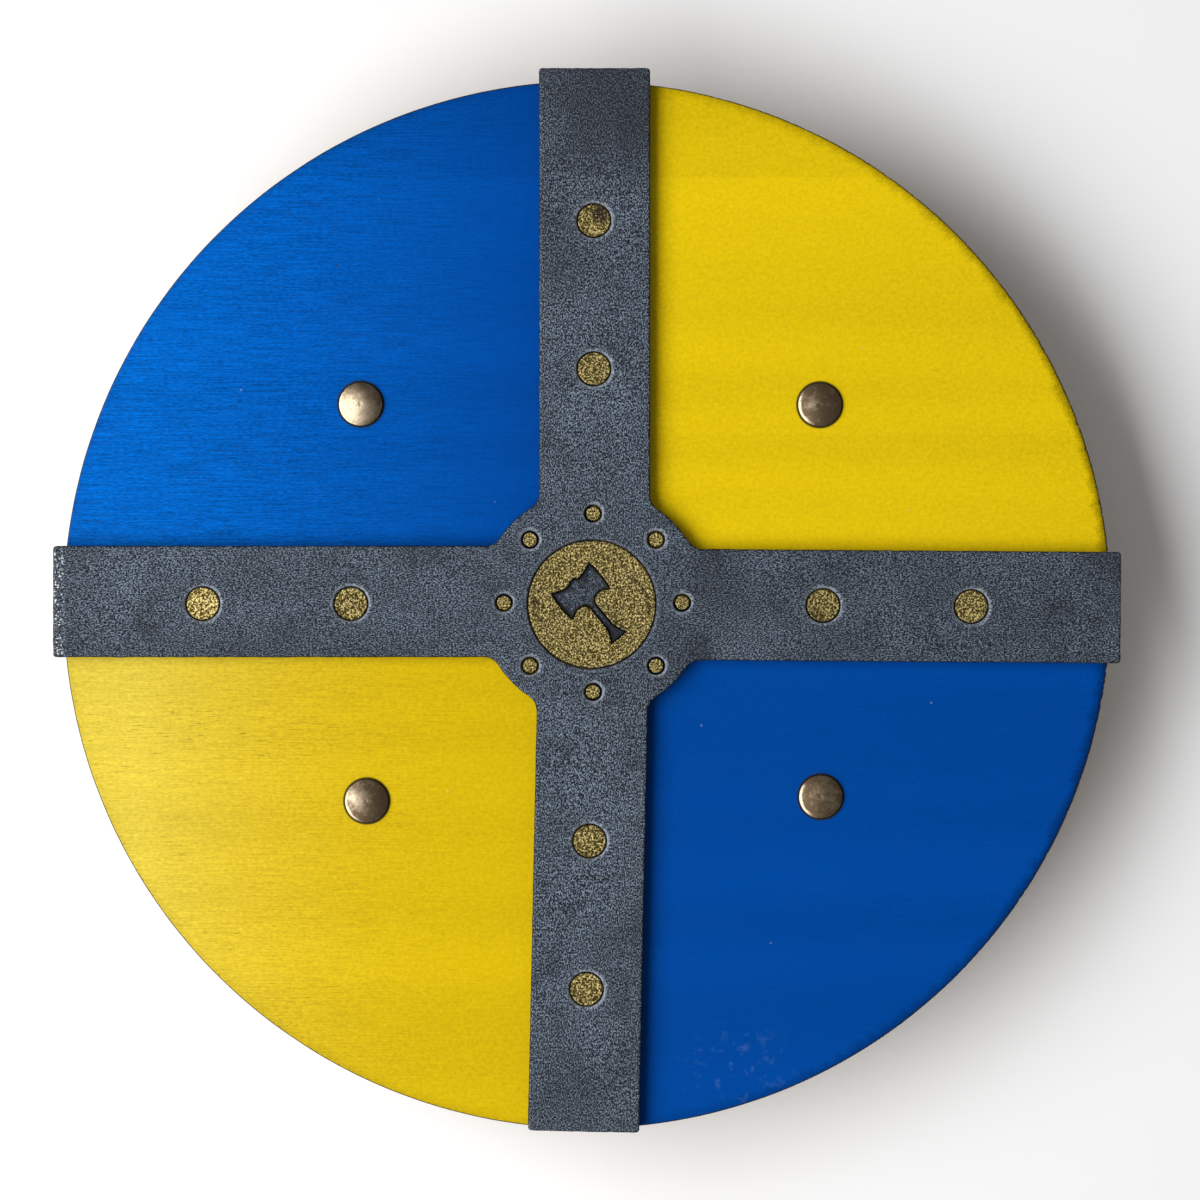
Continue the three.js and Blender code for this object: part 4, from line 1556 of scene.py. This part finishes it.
# %% [markdown]
# Cap rivets
#
# A cap rivet is two pressed brass caps on one post. A cap is a turned shape: a rolled rim, a shallow
# dome, and a small dimple in the middle from the setting punch. The profile is spun round the axis
# once, and a node tree sets a copy at each rivet, with that rivet's own slight lean.

# %% Turned caps
CAP_SIDES = 72
CAP_RIM = 0.8 * MM
RIM_ROLL, RIM_STEPS, DOME_STEPS = 150, 8, 30
DIMPLE_RADIUS = 0.55 * MM
DIMPLE_DEPTH = 0.12 * MM
CAP_SEAT = BOARD_HIGH.z + 0.3 * MM
SHANK_RADIUS = 2 * MM
SOCKET_RADIUS, SOCKET_DEPTH = 2.3 * MM, 1.6 * MM


def cap_profile(radius, height):
    rim = CAP_RIM / 2
    reach, rise = radius - rim, height - CAP_RIM
    sphere = (reach**2 + rise**2) / (2 * rise)
    points = []
    for k in range(RIM_STEPS + 1):
        angle = math.radians(-90 + RIM_ROLL * k / RIM_STEPS)
        points.append((reach + rim * math.cos(angle), rim + rim * math.sin(angle)))
    for k in range(1, DOME_STEPS + 1):
        out = reach * (1 - k / DOME_STEPS)
        level = height - sphere + math.sqrt(sphere**2 - out**2)
        points.append((out, level - DIMPLE_DEPTH * math.exp(-((out / DIMPLE_RADIUS) ** 2))))
    return points


def front_cap_profile():
    low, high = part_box("rivet_upper_left")
    bottom = low.z - CAP_SEAT
    dome = cap_profile((high.x - low.x) / 2, high.z - CAP_SEAT)
    return [(0, bottom), (SHANK_RADIUS, bottom), (SHANK_RADIUS, 0)] + dome


def back_cap_profile():
    low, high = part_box("rivet_back_upper_left")
    dome = cap_profile((high.x - low.x) / 2, high.z - low.z)
    return [(0, SOCKET_DEPTH), (SOCKET_RADIUS, SOCKET_DEPTH), (SOCKET_RADIUS, 0)] + dome


print("points in a front cap's profile:", len(front_cap_profile()))

# %% [markdown]
# A point of the profile that lies on the axis becomes one point, not a ring, so each cap closes with a
# fan of triangles. The value named edge is 1 on the rim, on the shank and in the socket.

# %% Spin a profile
def spun_ring(build, edge_layer, radius, z, widest):
    on_axis = radius < 1e-7
    at_rim = min(1, max(0, (radius / widest - 0.9) / 0.1))
    ring = []
    for k in range(1 if on_axis else CAP_SIDES):
        angle = 2 * math.pi * k / CAP_SIDES
        vert = build.verts.new((radius * math.cos(angle), radius * math.sin(angle), z))
        vert[edge_layer] = at_rim if z > -1e-6 or on_axis else 1
        ring.append(vert)
    return ring


def spun(name, profile):
    build = bmesh.new()
    edge_layer = build.verts.layers.float.new("edge")
    widest = max(r for r, _ in profile)
    rings = [spun_ring(build, edge_layer, radius, z, widest) for radius, z in profile]
    for lower, upper in zip(rings, rings[1:]):
        for k in range(CAP_SIDES):
            j = (k + 1) % CAP_SIDES
            corners = [ring[i % len(ring)] for ring, i in ((lower, k), (lower, j), (upper, j), (upper, k))]
            corners = list(dict.fromkeys(corners))
            if len(corners) > 2:
                build.faces.new(corners)
    bmesh.ops.recalc_face_normals(build, faces=build.faces)
    mesh = bpy.data.meshes.new(name)
    build.to_mesh(mesh)
    build.free()
    mesh.shade_smooth()
    return placed(name, mesh)


# %% [markdown]
# The tree takes the cap as an object and each point's lean as an attribute. The leans are small. The
# upper left cap leans most, and its crown was pushed over to one side when it was set, which is why
# that one catches the window with most of its face.

# %% Rivet tree
def make_rivet_tree():
    inputs = {
        "Geometry": (GEOMETRY, None),
        "Cap": ("NodeSocketObject", None),
        "Finish": ("NodeSocketMaterial", None),
    }
    tree, given = start_group("set_caps", "GeometryNodeTree", inputs, {"Geometry": GEOMETRY})
    cap = put(tree, "GeometryNodeObjectInfo", {"Object": given["Cap"]}).outputs["Geometry"]
    lean = named_value(tree, "lean", "FLOAT_VECTOR")
    return end_coated(tree, copies_at(tree, given["Geometry"], cap, lean), given["Finish"])


rivet_tree = make_rivet_tree()

# %% [markdown]
# Each cap is bright in a place of its own on the window's side: partly real polish, partly painted
# reflection of the window. It is given in shares of its radius, with how far it reaches and how strong
# it is. The rolled rim is painted bright on the side that faces the window, a painted highlight.

# %% Leans, dents, polish and highlights
LEAN_DEGREES = {
    "upper_left": (-0.7, -0.9),
    "upper_right": (0.3, 0.4),
    "lower_left": (0.5, -0.3),
    "lower_right": (-0.3, 0.3),
}
POLISH_AND_HIGHLIGHT_SPOTS = {
    "upper_left": ((-0.45, -0.35), 1.05, 1.2),
    "upper_right": ((-0.4, 0.0), 0.34, 0.5),
    "lower_left": ((-0.55, 0.2), 0.62, 0.75),
    "lower_right": ((0.25, 0.1), 0.7, 0.25),
}
BROWN_SHARE = 1.05
RIM_HIGHLIGHT_FROM, RIM_HIGHLIGHT_SIDE = 0.82, (-0.96, -0.28)
CAP_DENT = 0.04 * MM


def dent_crowns(mesh, seat, outward):
    co = read_points(mesh)
    above = np.clip(np.abs(co[:, 2] - seat) / MM - CAP_RIM / MM, 0, 1)
    dome = above * (1 - read_values(mesh, "edge"))
    co[:, 2] += outward * dome * CAP_DENT * (wavy(co, 260, 21) - 0.4)
    write_points(mesh, co)


def store_patina_and_highlight(mesh, prefix):
    co = read_points(mesh)
    patina_and_highlight = np.zeros(len(co))
    for place, (spot, reach, depth) in POLISH_AND_HIGHLIGHT_SPOTS.items():
        off = (co[:, :2] - np.array(middle(prefix + place).xy)) / width(prefix + place) * 2
        out = np.hypot(off[:, 0], off[:, 1])
        # Bright spots on the window's side: partly real polish, partly painted reflection of the window.
        polish_and_highlight = depth * np.exp(-((np.hypot(*(off - spot).T) / reach) ** 2))
        # The bright band on the rim's window side is a painted highlight.
        on_side = np.clip(off @ np.array(RIM_HIGHLIGHT_SIDE) * 2.5 - 1, 0, 1)
        rim_highlight = np.clip((out - RIM_HIGHLIGHT_FROM) / 0.08, 0, 1) * on_side
        near = out < 1.1
        patina_and_highlight[near] = (BROWN_SHARE - np.maximum(polish_and_highlight, 1.2 * rim_highlight))[near]
    store_values(mesh, "patina_and_highlight", patina_and_highlight)


print("polished spots:", len(POLISH_AND_HIGHLIGHT_SPOTS))

# %% [markdown]
# The back caps are the same turned shape, flipped over by half a turn in their lean. After the tree
# has run, one front cap's crown is sheared towards the window, as far as its dome reaches.

# %% Make the rivets
CAP_TURN = 1.3
CROWN_TOWARD, CROWN_DEGREES = (-0.8, -0.6), 7


def make_rivets(name, profile, prefix, seat, upside_down):
    cap = spun(name + "_cap", profile)
    places = [Vector((*middle(prefix + place).xy, seat)) for place in RIVET_PLACES]
    flip = math.pi if upside_down else 0
    leans = []
    for i, place in enumerate(RIVET_PLACES):
        back, side = (math.radians(angle) for angle in LEAN_DEGREES[place])
        leans.append(Vector((flip + back, side, i * CAP_TURN)))
    points = points_object(name + "_points", places, lean=leans)
    rivets = grown(name, points, rivet_tree, {"Cap": cap, "Finish": antique_brass})
    bpy.data.objects.remove(cap)
    dent_crowns(rivets.data, seat, -1 if upside_down else 1)
    store_patina_and_highlight(rivets.data, prefix)
    return rivets


def lean_crown(rivets, place, toward, degrees):
    mesh = rivets.data
    co = read_points(mesh)
    radius = width("rivet_" + place) / 2
    off = co[:, :2] - np.array(middle("rivet_" + place).xy)
    inner = np.clip(1 - (np.hypot(off[:, 0], off[:, 1]) / (radius - CAP_RIM / 2)) ** 2, 0, 1)
    crown = co[:, 2] > CAP_SEAT + CAP_RIM / 2
    co[:, 2] -= crown * inner * (off @ np.array(toward)) * math.tan(math.radians(degrees))
    write_points(mesh, co)


front_rivets = make_rivets("front_rivets", front_cap_profile(), "rivet_", CAP_SEAT, False)
lean_crown(front_rivets, "upper_left", CROWN_TOWARD, CROWN_DEGREES)
back_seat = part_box("rivet_back_upper_left")[1].z
back_rivets = make_rivets("back_rivets", back_cap_profile(), "rivet_back_", back_seat, True)
print(counted(front_rivets), "-", counted(back_rivets))

# %% [markdown]
# Arm straps
#
# A strap is one length of leather that follows a path: flat under each rivet, down two bends, and
# level across the crown. A node tree sweeps a rounded band along that path. Past each rivet it draws
# the band's width in to a round end, and presses a crease line near both sides, as a saddler does.

# %% Strap path
STRAP_THICKNESS = 2.5 * MM
STRAP_WIDTH = 25 * MM
STRAP_CROWN = 44 * MM
STRAP_TAB = 13 * MM
TAB_BEND = 10 * MM
CROWN_BEND = 22 * MM
PATH_STEP = 1.3 * MM
END_STEPS = 14
STRAP_GAP = 0.3 * MM
STRAP_TOP = BOARD_LOW.z - STRAP_GAP


def bend(run, level, radius, start, end):
    count = max(6, round(abs(end - start) * radius / PATH_STEP))
    angles = [start + (end - start) * k / count for k in range(count + 1)]
    return [(run + radius * math.cos(a), level + radius * math.sin(a)) for a in angles]


def between(a, b):
    count = max(1, round(math.dist(a, b) / PATH_STEP))
    return [(a[0] + (b[0] - a[0]) * k / count, a[1] + (b[1] - a[1]) * k / count) for k in range(1, count)]


def half_path(span):
    low, high = STRAP_THICKNESS / 2, STRAP_TOP - STRAP_THICKNESS / 2
    foot, knee = (STRAP_CROWN / 2, low), (span / 2 - STRAP_TAB, high)
    slope = math.atan2(knee[1] - foot[1], knee[0] - foot[0])
    ease = math.tan(slope / 2)
    upright = math.pi / 2
    rise = bend(foot[0] - CROWN_BEND * ease, low + CROWN_BEND, CROWN_BEND, -upright, slope - upright)
    level = bend(knee[0] + TAB_BEND * ease, high - TAB_BEND, TAB_BEND, slope + upright, upright)
    middle_run = [(0, low)] + between((0, low), rise[0])
    hole = (span / 2, high)
    quarter = [upright * k / END_STEPS for k in range(END_STEPS + 1)]
    tip = [(span / 2 + STRAP_WIDTH / 2 * math.sin(a), high) for a in quarter]
    return middle_run + rise + between(rise[-1], level[0]) + level + between(level[-1], hole) + tip


def strap_path(name, side):
    upper, lower = (middle(f"rivet_{row}_{side}").xy for row in ("upper", "lower"))
    half = half_path((upper - lower).length)
    line = [(-run, z) for run, z in half[:0:-1]] + half
    centre, along = (upper + lower) / 2, (upper - lower).normalized()
    curve = bpy.data.curves.new(name, "CURVE")
    curve.dimensions = "3D"
    spline = curve.splines.new("POLY")
    spline.points.add(len(line) - 1)
    for point, (run, z) in zip(spline.points, line):
        point.co = (*(centre + along * run), z, 1)
    return placed(name, curve), Vector((along.y, -along.x, 0))


print("points in half a strap's path:", len(half_path(2 * middle("rivet_upper_left").y)))

# %% [markdown]
# The sweep remembers, at each point of the path, where the path was and how wide the strap is there.
# The points of the band are then moved only across the strap. Its thickness stays even to the tip.

# %% Strap tree
CREASE_INSET = 2.2 * MM
CREASE_DEPTH = 0.28 * MM
CREASE_HALF = 0.45 * MM
BURNISHED_SIDE = 1.3 * MM


def start_strap_tree():
    inputs = {
        "Geometry": (GEOMETRY, None),
        "Width": (NUMBER, 25 * MM),
        "Thickness": (NUMBER, 2.5 * MM),
        "Corner": (NUMBER, 0.8 * MM),
        "Across": (VECTOR, None),
        "Crease Inset": (NUMBER, 2.2 * MM),
        "Crease Depth": (NUMBER, 0.3 * MM),
        "Around": (WHOLE, 110),
        "Finish": ("NodeSocketMaterial", None),
    }
    return start_group("strap_on_path", "GeometryNodeTree", inputs, {"Geometry": GEOMETRY})


def width_share(tree, given):
    half = times(tree, given["Width"], 0.5)
    run = put(tree, "GeometryNodeSplineParameter").outputs["Length"]
    length = put(tree, "GeometryNodeCurveLength", {0: given["Geometry"]}).outputs[0]
    to_end = calc(tree, "MINIMUM", run, minus(tree, length, run))
    past = calc(tree, "MAXIMUM", calc(tree, "DIVIDE", minus(tree, half, to_end), half), 0)
    left = minus(tree, 1, squared(tree, past))
    return calc(tree, "SQRT", calc(tree, "MAXIMUM", left, 0.0004))


def remembering_path(tree, given):
    tangent = put(tree, "GeometryNodeInputTangent").outputs[0]
    up = vector_calc(tree, "CROSS_PRODUCT", given["Across"], tangent)
    slope = calc(tree, "ABSOLUTE", put(tree, "ShaderNodeSeparateXYZ", {0: tangent}).outputs[2])
    here = put(tree, "GeometryNodeInputPosition").outputs[0]
    path = keep_value(tree, given["Geometry"], "share", width_share(tree, given))
    path = keep_value(tree, path, "path_up", up, "FLOAT_VECTOR")
    path = keep_value(tree, path, "path_at", here, "FLOAT_VECTOR")
    return keep_value(tree, path, "slope", slope)


def swept_band(tree, given, path):
    sockets = {"Curve": path, "Normal": given["Across"]}
    path = put(tree, "GeometryNodeSetCurveNormal", sockets, mode="FREE").outputs[0]
    sockets = {"Width": given["Width"], "Height": given["Thickness"]}
    section = put(tree, "GeometryNodeCurvePrimitiveQuadrilateral", sockets).outputs[0]
    sockets = {"Curve": section, "Radius": given["Corner"], "Count": 5, "Limit Radius": True}
    section = put(tree, "GeometryNodeFilletCurve", sockets, mode="POLY").outputs[0]
    sockets = {"Curve": section, "Count": given["Around"]}
    section = put(tree, "GeometryNodeResampleCurve", sockets).outputs[0]
    sockets = {"Curve": path, "Profile Curve": section, "Fill Caps": True}
    return put(tree, "GeometryNodeCurveToMesh", sockets).outputs[0]


# %% [markdown]
# How far a point lies to the side of the path is a dot product with the direction across, and how far
# above it is one with the path's own up. Both are read before anything moves.

# %% Round ends and creases
def along_axis(tree, offset, axis):
    return put(tree, "ShaderNodeVectorMath", {0: offset, 1: axis}, operation="DOT_PRODUCT").outputs["Value"]


def scaled(tree, axis, length):
    return put(tree, "ShaderNodeVectorMath", {0: axis, "Scale": length}, operation="SCALE").outputs[0]


def shaped_band(tree, given, band):
    across, up = given["Across"], named_value(tree, "path_up", "FLOAT_VECTOR")
    here = put(tree, "GeometryNodeInputPosition").outputs[0]
    off = vector_calc(tree, "SUBTRACT", here, named_value(tree, "path_at", "FLOAT_VECTOR"))
    aside = along_axis(tree, off, across)
    share = named_value(tree, "share")
    drawn_in = scaled(tree, across, times(tree, aside, minus(tree, share, 1)))
    half = times(tree, times(tree, given["Width"], 0.5), share)
    from_side = minus(tree, half, calc(tree, "ABSOLUTE", times(tree, aside, share)))
    miss = calc(tree, "DIVIDE", minus(tree, from_side, given["Crease Inset"]), CREASE_HALF)
    groove = calc(tree, "POWER", math.e, times(tree, squared(tree, miss), -1))
    outer = calc(tree, "LESS_THAN", along_axis(tree, off, up), 0)
    pressed = scaled(tree, up, times(tree, times(tree, groove, outer), given["Crease Depth"]))
    band = keep_value(tree, band, "edge", ramp(tree, from_side, BURNISHED_SIDE, 0))
    band = keep_value(tree, band, "bend", named_value(tree, "slope"))
    offset = vector_calc(tree, "ADD", drawn_in, pressed)
    return put(tree, "GeometryNodeSetPosition", {"Geometry": band, "Offset": offset}).outputs[0]


def make_strap_tree():
    tree, given = start_strap_tree()
    band = shaped_band(tree, given, swept_band(tree, given, remembering_path(tree, given)))
    band = put(tree, "GeometryNodeMergeByDistance", {"Geometry": band, "Distance": 0.02 * MM}).outputs[0]
    for label in ("share", "path_up", "path_at", "slope"):
        band = put(tree, "GeometryNodeRemoveAttribute", {"Geometry": band, "Name": label}).outputs[0]
    band = put(tree, "GeometryNodeSetShadeSmooth", {"Geometry": band}).outputs[0]
    real = put(tree, "GeometryNodeRealizeInstances", {"Geometry": band}).outputs[0]
    return end_coated(tree, real, given["Finish"])


strap_tree = make_strap_tree()

# %% [markdown]
# Both straps grow from the same tree. Handling leaves leather slightly uneven, so each strap sways a
# few hundredths of a millimetre to the sides. The crown that it lies on stays as it is.

# %% Make the straps
LEATHER_WAVE = 0.05 * MM
LEATHER_CORNER = 0.8 * MM
CROWN_FADE = 3 * MM
POINTS_AROUND = 110


def make_strap(side):
    path, across = strap_path(f"strap_path_{side}", side)
    strap = grown(f"leather_strap_{side}", path, strap_tree, {
        "Width": STRAP_WIDTH,
        "Thickness": STRAP_THICKNESS,
        "Corner": LEATHER_CORNER,
        "Across": across,
        "Crease Inset": CREASE_INSET,
        "Crease Depth": CREASE_DEPTH,
        "Around": POINTS_AROUND,
        "Finish": strap_leather,
    })
    mesh = strap.data
    co = read_points(mesh)
    free = np.clip((co[:, 2] - STRAP_THICKNESS) / CROWN_FADE, 0, 1)
    co[:, 0] += free * LEATHER_WAVE * wavy(co, 140, 31)
    write_points(mesh, co)
    return strap


straps = {side: make_strap(side) for side in ("left", "right")}
print([counted(strap) for strap in straps.values()])

# %% [markdown]
# Hand over
#
# Nothing on the shield moves, so every piece rides on the one body. Each fine piece stands for its
# solids, which are hidden.

# %% Ride and replace
def hand_over(piece, slot, *replaced):
    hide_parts(*replaced)
    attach(piece, "root")


hand_over(board, "painted_plywood", "board")
hand_over(foam_cross, "grey_foam", "foam_cross")
hand_over(medallion, "gold_foam", "medallion")
hand_over(axe, "grey_foam", "axe_inlay")
hand_over(arm_discs, "gold_foam", *arm_disc_nodes)
hand_over(ring_discs, "gold_foam", *ring_disc_nodes)
hand_over(front_rivets, "antique_brass", *(f"rivet_{place}" for place in RIVET_PLACES))
hand_over(back_rivets, "antique_brass", *(f"rivet_back_{place}" for place in RIVET_PLACES))
for side, strap in straps.items():
    hand_over(strap, "strap_leather", f"strap_{side}")
